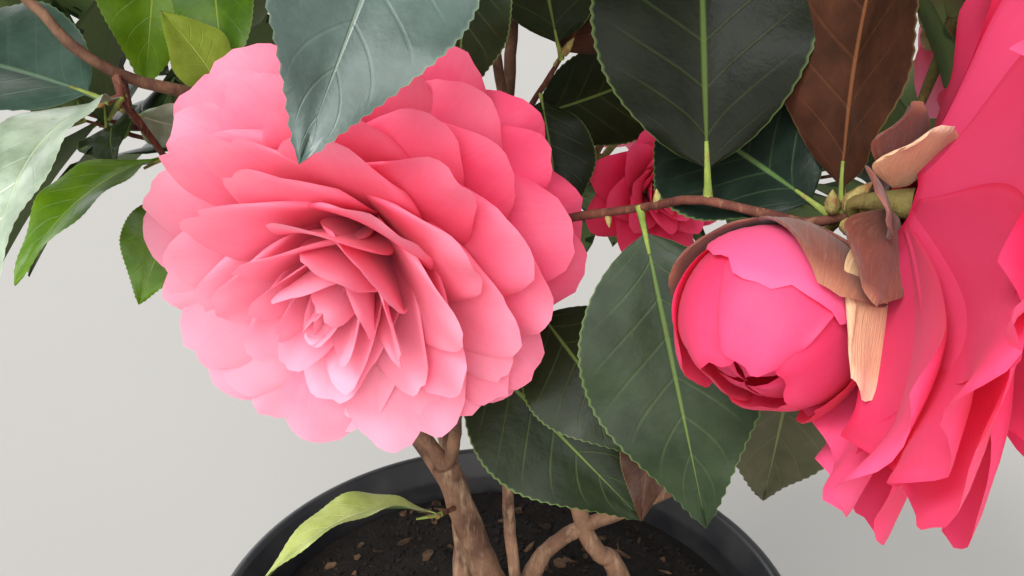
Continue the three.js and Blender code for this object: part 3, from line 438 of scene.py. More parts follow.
class Plant:
    """Every limb, twig, leaf and bloom in its place, grown by the frame's rule."""

    def __init__(self):
        self.pieces = []
        self.places = np.zeros((8000, 3))
        self.reaches = np.zeros(8000)
        self.keep([pot_piece()])
        self.limbs = {}
        self.twigs = []
        self.fine = []
        self.leaves = []
        self.blooms = []

    def clear(self, piece, gap, own=()):
        """Whether a piece keeps its gap from all the others, or a smaller one within its own node."""
        return all(other in own or piece.apart(other, GAP["within"] if other.node == piece.node else gap)
                   for other in self.near(piece, gap))

    def keep(self, pieces):
        for piece in pieces:
            self.places[len(self.pieces)] = piece.centre
            self.reaches[len(self.pieces)] = piece.radius
            self.pieces.append(piece)

    def near(self, piece, gap):
        count = len(self.pieces)
        away = np.linalg.norm(self.places[:count] - piece.centre, axis=1) - self.reaches[:count]
        return [self.pieces[k] for k in np.nonzero(away <= piece.radius + gap)[0]]

    def add_limb(self, name, path):
        self.limbs[name] = path
        self.keep(limb_pieces(path, name))

    def add_bough(self, name, start, at, radii, points):
        points = [place_on(self.limbs[start], at)[0]] + [np.array(p, float) for p in points]
        rows = [[*p, radii[0] + (radii[1] - radii[0]) * k / (len(points) - 1)] for k, p in enumerate(points)]
        self.add_limb(name, smooth(rows, 1 if len(rows) > 4 else 2))

    def add_front_spray(self, name, twigs, leaves):
        own = []
        for rows in twigs:
            self.twigs.append((name, np.array(rows, float)))
            own += limb_pieces(np.array(rows, float), name)
        for finish, base, tip, width, roll, extra in leaves:
            base, tip = np.array(base, float), np.array(tip, float)
            d = unit(tip - base)
            face = turn(upright(LOOK["at"] - (base + tip) / 2, d), d, math.radians(roll))
            leaf = leaf_from(base, tip, width, face, extra.get("arch", LEAF["arch"]), finish, extra)
            self.leaves.append((name, leaf))
            own.append(leaf_piece(leaf, name))
        self.keep(own)

    def add_bloom(self, name, on, at, centre, radius, axis, kind):
        axis, centre = unit(np.array(axis, float)), np.array(centre, float)
        start = place_on(self.limbs[on], at)[0] if on else np.array(at, float)
        seat = centre + axis * (-1.02 if kind == "bud" else -0.3) * radius
        bend = start * 0.45 + seat * 0.55 - axis * 0.1 * radius
        stalk = smooth([[*start, 1.7], [*bend, 1.8], [*seat, 4.2]], 2)
        profile = [(x * radius, r * radius) for x, r in (BUD_PROFILE if kind == "bud" else BLOOM_HULL)]
        self.keep([bloom_piece(centre, axis, profile, name)])
        self.keep(limb_pieces(stalk, name))
        self.blooms.append(dict(name=name, axis=axis, radius=radius, kind=kind, stalk=stalk, seat=seat))

    def grow_twig(self, start, d, reach, radii, draw):
        side = upright(vec(draw() - 0.5, draw() - 0.5, draw() - 0.5), d)
        end = start + d * reach + side * reach * 0.05 + vec(0, 0, 0.1 * reach)
        return np.array([[*start, radii[0]], [*end, radii[1]]])

    def grow_forks(self, name, main, reach, forks, draw):
        twigs = [main]
        for k in range(forks):
            at, _, way = place_on(main, 0.3 + 0.5 * k / forks)
            out = off_twig(way, 2.4 * k + 6 * draw())
            for attempt in range(6):
                d = unit(way * 0.62 + turn(out, way, attempt * 1.05) * 0.75)
                twig = self.grow_twig(at, d, reach * (0.5 + 0.2 * draw()), TWIG["fork"], draw)
                if (all(self.clear(piece, GAP["twig"]) for piece in limb_pieces(twig, name))
                        and not in_open_side([twig[1][:3]])):
                    twigs.append(twig)
                    break
        return twigs

    def grow_leaf(self, name, where, outward, k, step, own, draw, finish, scale=1.0):
        at, _, way = where
        size = scale * (LEAF["length"][0] + (LEAF["length"][1] - LEAF["length"][0]) * draw())
        width = size * LEAF["width"] * (0.92 + 0.16 * draw())
        first = k * GOLDEN + 0.7 * draw()
        opening = math.radians(30 + 25 * draw() if step == 0 else 48 + 24 * draw())
        face = vec(0, 0, 0.9) + outward * 0.55 + way * 0.25
        for attempt in range(7):
            about = off_twig(way, first + attempt * 0.9)
            d = unit(way * math.cos(opening) + about * math.sin(opening) + vec(0, 0, -0.16))
            smaller = 0.8 if attempt > 4 else 1
            leaf = leaf_from(at, at + d * size * smaller, width * smaller, face, LEAF["arch"], finish)
            points, _ = blade_points(leaf)
            if not in_crown(points) or in_open_side(points):
                continue
            if self.clear(leaf_piece(leaf, name), GAP["leaf"], own):
                return leaf
        return None

    def add_spray(self, index, name, on, at, count, finish, lean):
        draw = random_from(SEED + 97 * index)
        root, girth, along = place_on(self.limbs[on], at)
        outward = outwards(root)
        lean = unit(np.array(lean, float) if lean else along * 0.7 + outward * 0.6)
        reach = TWIG["reach"][0] + TWIG["reach"][1] * draw()
        main = self.grow_twig(root, lean, reach, (min(TWIG["root"], girth), TWIG["tip"]), draw)
        twigs = self.grow_forks(name, main, reach, 3 if count > 12 else 2, draw)
        own = [piece for twig in twigs for piece in limb_pieces(twig, name)]
        self.keep(own)
        self.twigs += [(name, twig) for twig in twigs]
        placed = misses = k = 0
        while placed < count and misses < 10:
            step = k // len(twigs)
            where = place_on(twigs[k % len(twigs)], max(0.98 - step * TWIG["pitch"], 0.16))
            leaf = self.grow_leaf(name, where, outward, k, step, own, draw, finish)
            misses = 0 if leaf else misses + 1
            if leaf:
                self.keep([leaf_piece(leaf, name)])
                self.leaves.append((name, leaf))
                placed += 1
            k += 1

    def add_fine(self, index, name, finish):
        """Finer twigs with smaller leaves, off a spray's own twigs and inside the same crown."""
        draw = random_from(SEED + 1000 + 53 * index)
        hosts = [twig for on, twig in self.twigs if on == name]
        root, _, _ = place_on(hosts[0], 0)
        outward = outwards(root)
        for j in range(FINE["twigs"]):
            at, _, way = place_on(hosts[j % len(hosts)], 0.15 + 0.7 * draw())
            out = off_twig(way, 6.28 * draw())
            for attempt in range(6):
                d = unit(way * 0.35 + turn(out, way, attempt * 1.05) + outward * 0.35)
                twig = self.grow_twig(at, d, FINE["reach"] * (0.7 + 0.6 * draw()), FINE["radii"], draw)
                body = limb_pieces(twig, name)
                if self.clear(body[0], GAP["twig"]) and not in_open_side([twig[1][:3]]):
                    break
            else:
                continue
            self.keep(body)
            self.fine.append(twig)
            for k in range(FINE["leaves"]):
                where = place_on(twig, max(0.98 - 0.2 * k, 0.2))
                scale = FINE["scale"] * (0.85 + 0.3 * draw())
                leaf = self.grow_leaf(name, where, outward, k, k // 2, body, draw, finish, scale)
                if leaf:
                    self.keep([leaf_piece(leaf, name)])
                    self.leaves.append((name, leaf))


@functools.cache
def grow_plant():
    """The frame's plant again, limb by limb and leaf by leaf."""
    plant = Plant()
    for name, rows in STEMS.items():
        plant.add_limb(name, smooth(rows, 2))
    for name, row in BOUGHS.items():
        plant.add_bough(name, *row)
    for name, row in FRONT_SPRAYS.items():
        plant.add_front_spray(name, *row)
    for row in BLOOMS:
        plant.add_bloom(*row)
    for index, row in enumerate(SPRAYS):
        plant.add_spray(index, *row)
    for index, row in enumerate(SPRAYS):
        plant.add_fine(index, row[0], row[4])
    return plant


# Meshes

class Sheaf:
    """Gathers many small shapes, in millimetres, into one mesh in metres."""

    def __init__(self):
        self.parts = []
        self.faces = []
        self.finishes = []
        self.count = 0

    def add(self, points, faces, marks=None, tone=0.0, under=0.0, finish=0):
        """Marks are the points' places on the shape, and tone and under its shade and its side."""
        points = np.asarray(points, float).reshape(-1, 3)
        rows = np.zeros((len(points), 7))
        rows[:, :3] = points * MM
        if marks is not None:
            rows[:, 3:5] = marks
        rows[:, 5] = tone
        rows[:, 6] = under
        self.parts.append(rows)
        self.faces += (np.asarray(faces) + self.count).tolist()
        self.finishes += [finish] * len(faces)
        self.count += len(points)

    def close_ends(self, sides):
        """Caps the first and the last ring of the round body that was added last."""
        first, last = self.count - len(self.parts[-1]), self.count - sides
        self.faces += [list(range(first, first + sides))[::-1], list(range(last, self.count))]
        self.finishes += [0, 0]

    def piece(self, name, *materials):
        """The shapes as an object in the scene."""
        return make_object(name, self.mesh(name, *materials))

    def form(self, name):
        """The shapes as an object on no collection, to be set in many places."""
        return bpy.data.objects.new(name, self.mesh(name))

    def mesh(self, name, *materials):
        rows = np.vstack(self.parts)
        mesh = bpy.data.meshes.new(name)
        mesh.from_pydata(rows[:, :3].tolist(), [], self.faces)
        for material in materials:
            mesh.materials.append(material)
        mesh.polygons.foreach_set("material_index", np.array(self.finishes, np.int32))
        mesh.polygons.foreach_set("use_smooth", np.ones(len(self.faces), bool))
        corners = np.empty(len(mesh.loops), np.int32)
        mesh.loops.foreach_get("vertex_index", corners)
        mesh.uv_layers.new(name="UVMap").data.foreach_set("uv", rows[corners, 3:5].astype(np.float32).ravel())
        for column, title in ((5, "tone"), (6, "under")):
            mark = mesh.attributes.new(title, "FLOAT", "POINT")
            mark.data.foreach_set("value", rows[:, column].astype(np.float32))
        mesh.update()
        mesh.set_sharp_from_angle(angle=math.radians(SHARP))
        return mesh


def circle(sides, radius=1.0, shift=0.0):
    """Points spaced evenly round a circle."""
    angles = (np.arange(sides) + shift) * 2 * math.pi / sides
    return [(radius * math.cos(a), radius * math.sin(a)) for a in angles]


def grid_faces(index):
    """Squares over a table of point numbers."""
    corners = (index[:-1, :-1], index[1:, :-1], index[1:, 1:], index[:-1, 1:])
    return np.stack(corners, axis=-1).reshape(-1, 4)


def round_faces(rings, sides):
    """Squares over rings of points that close on themselves, facing outwards."""
    index = np.arange(rings * sides).reshape(rings, sides)
    return grid_faces(np.hstack((index, index[:, :1])))[:, ::-1]


def tube_faces(sides):
    """The squares between two rings of points."""
    return [(k, (k + 1) % sides, sides + (k + 1) % sides, sides + k) for k in range(sides)]


def closed_sheet(grid, marks, thickness):
    """A grid of points as a thin body whose two sides meet along its edge: points, faces, marks and side."""
    rows, cols = grid.shape[:2]
    normal = np.cross(np.gradient(grid, axis=0), np.gradient(grid, axis=1))
    normal /= np.maximum(np.linalg.norm(normal, axis=2, keepdims=True), 1e-9)
    inner = np.zeros((rows, cols), bool)
    inner[1:-1, 1:-1] = True
    top = np.arange(rows * cols).reshape(rows, cols)
    below = top.copy()
    below[inner] = rows * cols + np.arange(inner.sum())
    half = normal * inner[..., None] * thickness / 2
    points = np.vstack(((grid + half).reshape(-1, 3), (grid - half)[inner]))
    faces = np.vstack((grid_faces(top), grid_faces(below)[:, ::-1]))
    side = np.concatenate((np.where(inner, 0.0, 0.5).ravel(), np.ones(inner.sum())))
    return points, faces, np.vstack((marks.reshape(-1, 2), marks[inner])), side


def ramp(x, low, high):
    """0 below low, 1 above high, and a smooth rise between."""
    t = np.clip((np.asarray(x, float) - low) / (high - low), 0, 1)
    return t * t * (3 - 2 * t)


def make_object(name, mesh):
    piece = bpy.data.objects.new(name, mesh)
    bpy.context.scene.collection.objects.link(piece)
    return piece


def settle(piece, slot, *nodes):
    """Fixes a finished piece to the one body and hides the frame's parts that it stands for."""
    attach(piece, "root")
    if nodes:
        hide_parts(*nodes)


# Leaves

def leaf_half_width(t, petiole):
    """Half the width of a leaf of width 1 along its length: petiole, oval blade and drawn-out tip."""
    x = np.clip((t - petiole) / (1 - petiole), 0, 1)
    blade = 0.5 * np.sin(math.pi * x ** 0.8) ** 0.85 * (1 - 0.3 * ramp(x, 0.5, 1))
    return np.maximum(blade, 0.02 - 0.016 * ramp(t, 0.9, 1))


def leaf_grid(rows, cols, phase, fold, petiole=0.08, teeth=0.0, bend=0.0):
    """A leaf of length and width 1 with its midrib along x: its points and their marks.

    The rise of the arch and droop is left to the caller, who knows them leaf by leaf.
    """
    t = np.linspace(0, 1, rows + 1)[:, None]
    v = np.linspace(-1, 1, cols + 1)[None, :]
    v = np.sign(v) * np.abs(v) ** 0.85
    half = leaf_half_width(t, petiole)
    at_edge = (np.abs(v) > 0.999) * (half > 0.05)
    tooth = at_edge * teeth * (np.arange(rows + 1) % 2)[:, None]
    y = v * half + np.sign(v) * tooth
    x = t + tooth * 0.25 + 0 * v
    inside = ramp(t, petiole, petiole + 0.12)
    ripple = 0.012 * np.abs(v) ** 2 * np.sin(2 * math.pi * 3.2 * t + phase + 1.3 * np.sign(v))
    groove = -0.006 * np.exp(-(v / 0.12) ** 2)
    z = inside * (ripple + groove + fold * np.abs(v) * half * 2)
    y = y + bend * 4 * t * (1 - t)
    return np.stack((x, y, z), axis=-1), np.stack((0.5 + 0.5 * v + 0 * t, t + 0 * v), axis=-1)


def place_leaf(sheaf, leaf, finish, draw):
    """One front leaf, with its own arch, droop and wavy toothed edge."""
    extra = leaf["extra"]
    grid, marks = leaf_grid(64, 10, phase=6 * draw.random(), fold=0.05, teeth=0.011)
    t = grid[..., 0]
    rise = (leaf["arch"] + extra.get("lift", 0)) * 4 * t * (1 - t) - extra.get("droop", LEAF["droop"]) * t * t
    across = np.cross(leaf["n"], leaf["d"])
    size, width = leaf["length"], leaf["width"] * extra.get("slim", 1)
    tilt = math.radians(extra.get("tilt", 0))
    across, normal = turn(across, leaf["d"], tilt), turn(leaf["n"], leaf["d"], tilt)
    points = (leaf["base"] + leaf["d"] * (t * size)[..., None] + across * (grid[..., 1] * width)[..., None]
              + normal * ((rise + grid[..., 2]) * size)[..., None])
    body, faces, marks, side = closed_sheet(points, marks, SHEET)
    sheaf.add(body, faces, marks, draw.random(), side, finish)


# Petals

# Angles from the axis are in degrees. Sizes are parts of the bloom's radius, but for the notches of the
# rim, which are parts of the length. Cup, ruffle and curl bend the petal's width, wrap lays it round the
# axis, round and ragged shape its rim, and bulge says how late it turns from the first angle to the last.
PETAL_FORM = dict(start=30.0, end=90.0, length=1.0, half=0.35, cup=0.7, notch=0.04, ruffle=0.05, curl=0.1,
                  root=0.04, lift=0.0, twist=0.0, bulge=1.2, wrap=0.0, round=0.42, ragged=1.0)


def petal_grid(seat, axis, azimuth, radius, form, rows, cols, draw):
    """A petal, or a scale of the bud: it leaves the seat at one angle to the axis and ends at another."""
    form = {**PETAL_FORM, **form}
    u = np.linspace(0.0, 1, rows + 1)[:, None]
    v = np.linspace(-1, 1, cols + 1)[None, :]
    v = 0.4 * v + 0.6 * np.sin(0.5 * math.pi * v)
    # the rim
    uneven = 0.008 * np.sin(7 * v + 6 * draw.random()) + 0.005 * np.sin(19 * v + 6 * draw.random())
    end = 1 - form["round"] * np.abs(v) ** 2.3 + uneven * form["ragged"]
    for middle in (draw.uniform(-0.2, 0.2), draw.uniform(0.3, 0.7) * draw.choice((-1, 1))):
        end = end - draw.random() * form["notch"] * np.exp(-((v - middle) / 0.11) ** 2)
    s = u * end
    # the midline, stepped from its foot to a little past its rim
    fine = np.linspace(0, 1.1, 111)
    angles = np.radians(form["start"] + (form["end"] - form["start"]) * fine ** form["bulge"])
    step = form["length"] * radius * (fine[1] - fine[0])
    out = np.concatenate(([0], np.cumsum(np.sin(angles)[:-1] * step)))
    up = np.concatenate(([0], np.cumsum(np.cos(angles)[:-1] * step)))
    angle = np.interp(s, fine, angles)
    # the width, which is least at the foot and greatest at about three quarters of the length
    half = form["half"] * radius
    broad = 0.2 + 0.8 * np.sin(0.5 * math.pi * np.minimum(u / 0.72, 1)) ** 1.15
    broad = broad * (1 - 0.22 * ramp(u, 0.74, 1.15))
    x = half * broad * v
    bend = form["cup"] / half
    side = np.sin(bend * x) / bend
    rise = (1 - np.cos(bend * x)) / bend
    rise = rise + form["ruffle"] * half * u ** 2 * np.abs(v) ** 1.5 * np.sin(4.5 * v + 6 * draw.random())
    rise = rise + 0.5 * form["ruffle"] * half * u ** 4 * np.sin(8 * v + 6 * draw.random())
    rise = rise - form["curl"] * half * ramp(u, 0.6, 1.05) ** 1.3 * (0.35 + 0.65 * v * v)
    # its place round the axis
    radial = turn(upright(vec(0.2, 0.1, 1), axis), axis, azimuth)
    across = turn(np.cross(axis, radial), radial, form["twist"])
    inward = axis * np.sin(angle)[..., None] - radial * np.cos(angle)[..., None]
    reach = form["root"] * radius + np.interp(s, fine, out)
    height = form["lift"] * radius + np.interp(s, fine, up)
    if form["wrap"]:
        round_axis = x / np.maximum(reach, 0.35 * radius)
        reach = reach + form["wrap"] * radius * np.abs(v) ** 2
        way = radial * np.cos(round_axis)[..., None] + across * np.sin(round_axis)[..., None]
        rise = rise - (1 - np.cos(bend * x)) / bend
        grid = seat + way * reach[..., None] + axis * height[..., None] + inward * rise[..., None]
    else:
        grid = (seat + radial * reach[..., None] + axis * height[..., None]
                + across * side[..., None] + inward * rise[..., None])
    return grid, np.stack((0.5 + 0.5 * v + 0 * s, s + 0 * v), axis=-1)


def add_petal(sheaf, seat, axis, azimuth, radius, form, draw, rows, cols, tone, thickness=SHEET,
              finish=0):
    """One petal or scale as a closed thin body."""
    grid, marks = petal_grid(seat, axis, azimuth, radius, form, rows, cols, draw)
    body, faces, marks, side = closed_sheet(grid, marks, thickness)
    sheaf.add(body, faces, marks, tone, side, finish)


def mix(a, b, t):
    return a + (b - a) * t


# Rings of a double bloom, from its heart outwards: place, start and end angle, length, half width,
# cup, curl of the rim and share of the outer axis
FRONT_RINGS = (
    (0.0, 2, -14, 0.68, 0.13, 1.2, 0.05, 0.0), (0.1, 14, 18, 0.73, 0.2, 0.9, 0.08, 0.0),
    (0.27, 35, 52, 0.87, 0.29, 0.4, 0.12, 0.0), (0.48, 48, 70, 0.97, 0.34, 0.2, 0.16, 0.2),
    (0.72, 57, 84, 1.02, 0.37, -0.22, 0.2, 0.7), (1.0, 66, 104, 1.04, 0.4, -0.35, 0.22, 1.0))
PLAIN_RINGS = (
    (0.0, 2, -12, 0.66, 0.13, 1.3, 0.05, 0.0), (0.45, 22, 40, 0.82, 0.26, 0.7, 0.15, 0.0),
    (0.75, 40, 78, 0.94, 0.35, 0.3, 0.2, 0.0), (1.0, 56, 104, 1.02, 0.4, -0.3, 0.2, 0.0))


def rosette(sheaf, bloom, rings, count, draw, rows, cols, outer, tone_of, reach_of=None):
    """A double bloom: petals in a spiral, each laid further back than the one before."""
    radius, inner = bloom["radius"], bloom["axis"]
    table = np.array(rings)
    for k in range(count):
        t = k / (count - 1)
        start, end, length, half, cup, curl, share = [np.interp(t, table[:, 0], column)
                                                      for column in table[:, 1:].T]
        form = dict(start=start + draw.uniform(-4, 4), end=end + draw.uniform(-6, 6),
                    length=length * draw.uniform(0.95, 1.04), half=half * draw.uniform(0.9, 1.12),
                    cup=cup or 0.01, notch=draw.uniform(0.0, 0.07), ruffle=mix(0.06, 0.13, t) * draw.random(),
                    curl=curl * draw.uniform(0.4, 1.2), root=mix(0.01, 0.12, t), lift=mix(0.12, 0.0, t),
                    twist=draw.uniform(-0.12, 0.12))
        azimuth = k * GOLDEN + draw.uniform(-0.16, 0.16)
        if reach_of:
            form["length"] *= reach_of(t, azimuth)
        add_petal(sheaf, bloom["seat"], unit(mix(inner, outer, share)), azimuth, radius, form, draw, rows,
                  cols, tone=tone_of(t, azimuth) + draw.uniform(-0.08, 0.08))


# Node trees

def node(tree, kind, inputs=None, **settings):
    """One node, with its settings and with values or links for its inputs."""
    made = tree.nodes.new(kind)
    for key, value in settings.items():
        setattr(made, key, value)
    for key, value in (inputs or {}).items():
        if isinstance(value, bpy.types.NodeSocket):
            tree.links.new(value, made.inputs[key])
        else:
            made.inputs[key].default_value = value
    return made


def output(tree, kind, inputs=None, **settings):
    """The first output of a new node."""
    return node(tree, kind, inputs, **settings).outputs[0]


def maths(tree, operation, a, b):
    return output(tree, "ShaderNodeMath", {0: a, 1: b}, operation=operation)


def geometry_tree(name, sockets):
    """An empty tree of geometry nodes with named inputs: the tree, its start and its end."""
    tree = bpy.data.node_groups.new(name, "GeometryNodeTree")
    tree.interface.new_socket("Geometry", in_out="INPUT", socket_type="NodeSocketGeometry")
    for title, kind, default in sockets:
        socket = tree.interface.new_socket(title, in_out="INPUT", socket_type="NodeSocket" + kind)
        if default is not None:
            socket.default_value = default
    tree.interface.new_socket("Geometry", in_out="OUTPUT", socket_type="NodeSocketGeometry")
    return tree, tree.nodes.new("NodeGroupInput"), tree.nodes.new("NodeGroupOutput")


def finish_tree(tree, geometry, material, end):
    """Ends a tree as the export wants it: real faces, shaded smooth, with their material."""
    real = output(tree, "GeometryNodeRealizeInstances", {0: geometry})
    shaded = output(tree, "GeometryNodeSetShadeSmooth", {0: real, "Shade Smooth": True})
    painted = output(tree, "GeometryNodeSetMaterial", {0: shaded, "Material": material})
    tree.links.new(painted, end.inputs[0])
    return tree


def named(tree, name, kind):
    """A mark of the mesh's points, read by its name."""
    return output(tree, "GeometryNodeInputNamedAttribute", {"Name": name}, data_type=kind)


def bake(piece):
    """Turns what a piece's modifiers show into its own plain mesh."""
    graph = bpy.context.evaluated_depsgraph_get()
    baked = bpy.data.meshes.new_from_object(piece.evaluated_get(graph))
    piece.modifiers.clear()
    piece.data = baked


def bake_tree(name, mesh, tree, values):
    """Runs a tree on a mesh once, and keeps the result as a plain mesh."""
    piece = make_object(name, mesh)
    modifier = piece.modifiers.new(tree.name, "NODES")
    modifier.node_group = tree
    for item in tree.interface.items_tree:
        if item.item_type == "SOCKET" and item.in_out == "INPUT" and item.name in values:
            modifier[item.identifier] = values[item.name]
    bake(piece)
    piece.data.name = name
    return piece


def limb_tree():
    """Skins a path with the girth of its points, and raises bark on it."""
    tree, start, end = geometry_tree("Limb skin", (
        ("Sides", "Int", 10), ("Relief", "Float", 0.0003), ("Grain", "Float", 300.0),
        ("Stretch", "Float", 4.0), ("Material", "Material", None)))
    paths = output(tree, "GeometryNodeMeshToCurve", {0: start.outputs["Geometry"]})
    girth = named(tree, "girth", "FLOAT")
    line = output(tree, "GeometryNodeSetCurveRadius", {0: paths, "Radius": girth})
    ring = output(tree, "GeometryNodeCurvePrimitiveCircle", {
        "Resolution": start.outputs["Sides"], "Radius": 1.0})
    skin = output(tree, "GeometryNodeCurveToMesh", {
        "Curve": line, "Profile Curve": ring, "Scale": girth, "Fill Caps": True})
    place = output(tree, "GeometryNodeInputPosition")
    share = maths(tree, "DIVIDE", 1.0, start.outputs["Stretch"])
    flat = output(tree, "ShaderNodeCombineXYZ", {0: 1.0, 1: 1.0, 2: share})
    drawn = output(tree, "ShaderNodeVectorMath", {0: place, 1: flat}, operation="MULTIPLY")
    grain = output(tree, "ShaderNodeTexNoise", {
        "Vector": drawn, "Scale": start.outputs["Grain"], "Detail": 3.0, "Roughness": 0.65})
    height = maths(tree, "MULTIPLY", maths(tree, "SUBTRACT", grain, 0.5), start.outputs["Relief"])
    normal = output(tree, "GeometryNodeInputNormal")
    offset = output(tree, "ShaderNodeVectorMath", {0: normal, "Scale": height}, operation="SCALE")
    rough = output(tree, "GeometryNodeSetPosition", {0: skin, "Offset": offset})
    return finish_tree(tree, rough, start.outputs["Material"], end)


FORMS = ("Form A", "Form B", "Form C")
FORM_SOCKETS = tuple((title, "Object", None) for title in FORMS) + (("Material", "Material", None),)


def set_forms(tree, start, end, points, which, turned, size):
    """Sets one of the tree's three forms on every point, and ends the tree."""
    forms = node(tree, "GeometryNodeGeometryToInstance")
    for title in reversed(FORMS):
        form = node(tree, "GeometryNodeObjectInfo", {"Object": start.outputs[title]})
        tree.links.new(form.outputs["Geometry"], forms.inputs[0])
    placed = output(tree, "GeometryNodeInstanceOnPoints", {
        "Points": points, "Instance": forms.outputs[0], "Pick Instance": True, "Instance Index": which,
        "Rotation": output(tree, "FunctionNodeEulerToRotation", {0: turned}), "Scale": size})
    return finish_tree(tree, placed, start.outputs["Material"], end)


def scatter_tree():
    """Sets forms on points, turned and sized as each point says."""
    tree, start, end = geometry_tree("Set on points", FORM_SOCKETS)
    return set_forms(tree, start, end, start.outputs["Geometry"], named(tree, "form", "INT"),
                     named(tree, "turn", "FLOAT_VECTOR"), named(tree, "size", "FLOAT_VECTOR"))


def strew_tree():
    """Strews small forms over the faces of a surface, by a fixed seed."""
    tree, start, end = geometry_tree("Strew on surface", FORM_SOCKETS + (
        ("Density", "Float", 20000.0), ("Seed", "Int", 7), ("Least", "Float", 0.5),
        ("Most", "Float", 1.0), ("Tilt", "Float", 0.5)))
    most, seed = start.outputs["Tilt"], start.outputs["Seed"]
    points = output(tree, "GeometryNodeDistributePointsOnFaces", {
        "Mesh": start.outputs["Geometry"], "Density": start.outputs["Density"], "Seed": seed})
    least = maths(tree, "MULTIPLY", most, -1.0)
    low = output(tree, "ShaderNodeCombineXYZ", {0: least, 1: least, 2: 0.0})
    high = output(tree, "ShaderNodeCombineXYZ", {0: most, 1: most, 2: 6.28})
    turned = output(tree, "FunctionNodeRandomValue", {"Min": low, "Max": high, "Seed": seed},
                    data_type="FLOAT_VECTOR")
    size = node(tree, "FunctionNodeRandomValue", {
        2: start.outputs["Least"], 3: start.outputs["Most"], "Seed": 3}, data_type="FLOAT")
    which = node(tree, "FunctionNodeRandomValue", {4: 0, 5: 2, "Seed": 5}, data_type="INT")
    return set_forms(tree, start, end, points, which.outputs[2], turned, size.outputs[1])


def paths_mesh(name, paths):
    """Many paths of x, y, z and radius, in millimetres, as loose edges with their girth."""
    rows = np.vstack(paths)
    edges = []
    count = 0
    for path in paths:
        edges += [(count + k, count + k + 1) for k in range(len(path) - 1)]
        count += len(path)
    mesh = bpy.data.meshes.new(name)
    mesh.from_pydata((rows[:, :3] * MM).tolist(), edges, [])
    girth = mesh.attributes.new("girth", "FLOAT", "POINT")
    girth.data.foreach_set("value", (rows[:, 3] * MM).astype(np.float32))
    return mesh


def points_mesh(name, rows):
    """Points with a turn, a size, a form and a shade for what is set on them, along d and facing n."""
    mesh = bpy.data.meshes.new(name)
    mesh.from_pydata([tuple(row["at"] * MM) for row in rows], [], [])
    frames = [(row["d"], np.cross(row["n"], row["d"]), row["n"]) for row in rows]
    turns = [Matrix(np.stack(axes, axis=1).tolist()).to_euler() for axes in frames]
    for title, values in (("turn", turns), ("size", [row["size"] for row in rows])):
        mark = mesh.attributes.new(title, "FLOAT_VECTOR", "POINT")
        mark.data.foreach_set("vector", np.array(values, np.float32).ravel())
    form = mesh.attributes.new("form", "INT", "POINT")
    form.data.foreach_set("value", np.array([row["form"] for row in rows], np.int32))
    tone = mesh.attributes.new("shade", "FLOAT", "POINT")
    tone.data.foreach_set("value", np.array([row["tone"] for row in rows], np.float32))
    return mesh


# Materials

def srgb(red, green, blue):
    """A colour given as on screen, from 0 to 255."""
    return tuple(((c / 255 + 0.055) / 1.055) ** 2.4 for c in (red, green, blue)) + (1.0,)


class Paint:
    """A material and short ways to add its nodes."""

    def __init__(self, name, **values):
        self.material = bpy.data.materials.new(name)
        self.material.use_nodes = True
        self.tree = self.material.node_tree
        self.shader = self.tree.nodes["Principled BSDF"]
        for key, value in values.items():
            self.shader.inputs[key.replace("_", " ")].default_value = value
        self.place = self.add("ShaderNodeTexCoord").outputs["Object"]

    def add(self, kind, inputs=None, **settings):
        return node(self.tree, kind, inputs, **settings)

    def output(self, kind, inputs=None, **settings):
        return output(self.tree, kind, inputs, **settings)

    def read(self, name):
        return self.add("ShaderNodeAttribute", attribute_name=name).outputs["Fac"]

    def marks(self):
        """The place on a leaf, petal or scale, then the parts of it across and along."""
        place = self.output("ShaderNodeUVMap", uv_map="UVMap")
        split = self.add("ShaderNodeSeparateXYZ", {0: place})
        return place, split.outputs[0], split.outputs[1]

    def math(self, operation, a, b=0.0):
        return maths(self.tree, operation, a, b)

    def plus(self, a, b):
        return self.math("ADD", a, b)

    def less(self, a, b):
        return self.math("SUBTRACT", a, b)

    def times(self, a, b):
        return self.math("MULTIPLY", a, b)

    def fit(self, value, low, high, to_low=0.0, to_high=1.0):
        return self.output("ShaderNodeMapRange", {0: value, 1: low, 2: high, 3: to_low, 4: to_high})

    def stretched(self, x, y, z, vector=None):
        return self.output("ShaderNodeMapping", {"Vector": vector or self.place, "Scale": (x, y, z)})

    def noise(self, scale, detail=3.0, vector=None, roughness=0.6):
        return self.output("ShaderNodeTexNoise", {
            "Vector": vector or self.place, "Scale": scale, "Detail": detail, "Roughness": roughness})

    def mix(self, share, a, b):
        return self.add("ShaderNodeMix", {0: share, 6: a, 7: b}, data_type="RGBA").outputs[2]

    def colour(self, value):
        self.tree.links.new(value, self.shader.inputs["Base Color"])

    def rough(self, value):
        self.tree.links.new(value, self.shader.inputs["Roughness"])

    def let_through(self, colour, share):
        """Lets a share of the light pass through a thin body."""
        glow = self.output("ShaderNodeBsdfTranslucent", {"Color": colour})
        both = self.output("ShaderNodeMixShader", {0: share, 1: self.shader.outputs[0], 2: glow})
        end = next(n for n in self.tree.nodes if n.type == "OUTPUT_MATERIAL")
        self.tree.links.new(both, end.inputs["Surface"])

    def bump(self, height, distance, strength=1.0):
        made = self.output("ShaderNodeBump", {"Height": height, "Distance": distance, "Strength": strength})
        self.tree.links.new(made, self.shader.inputs["Normal"])


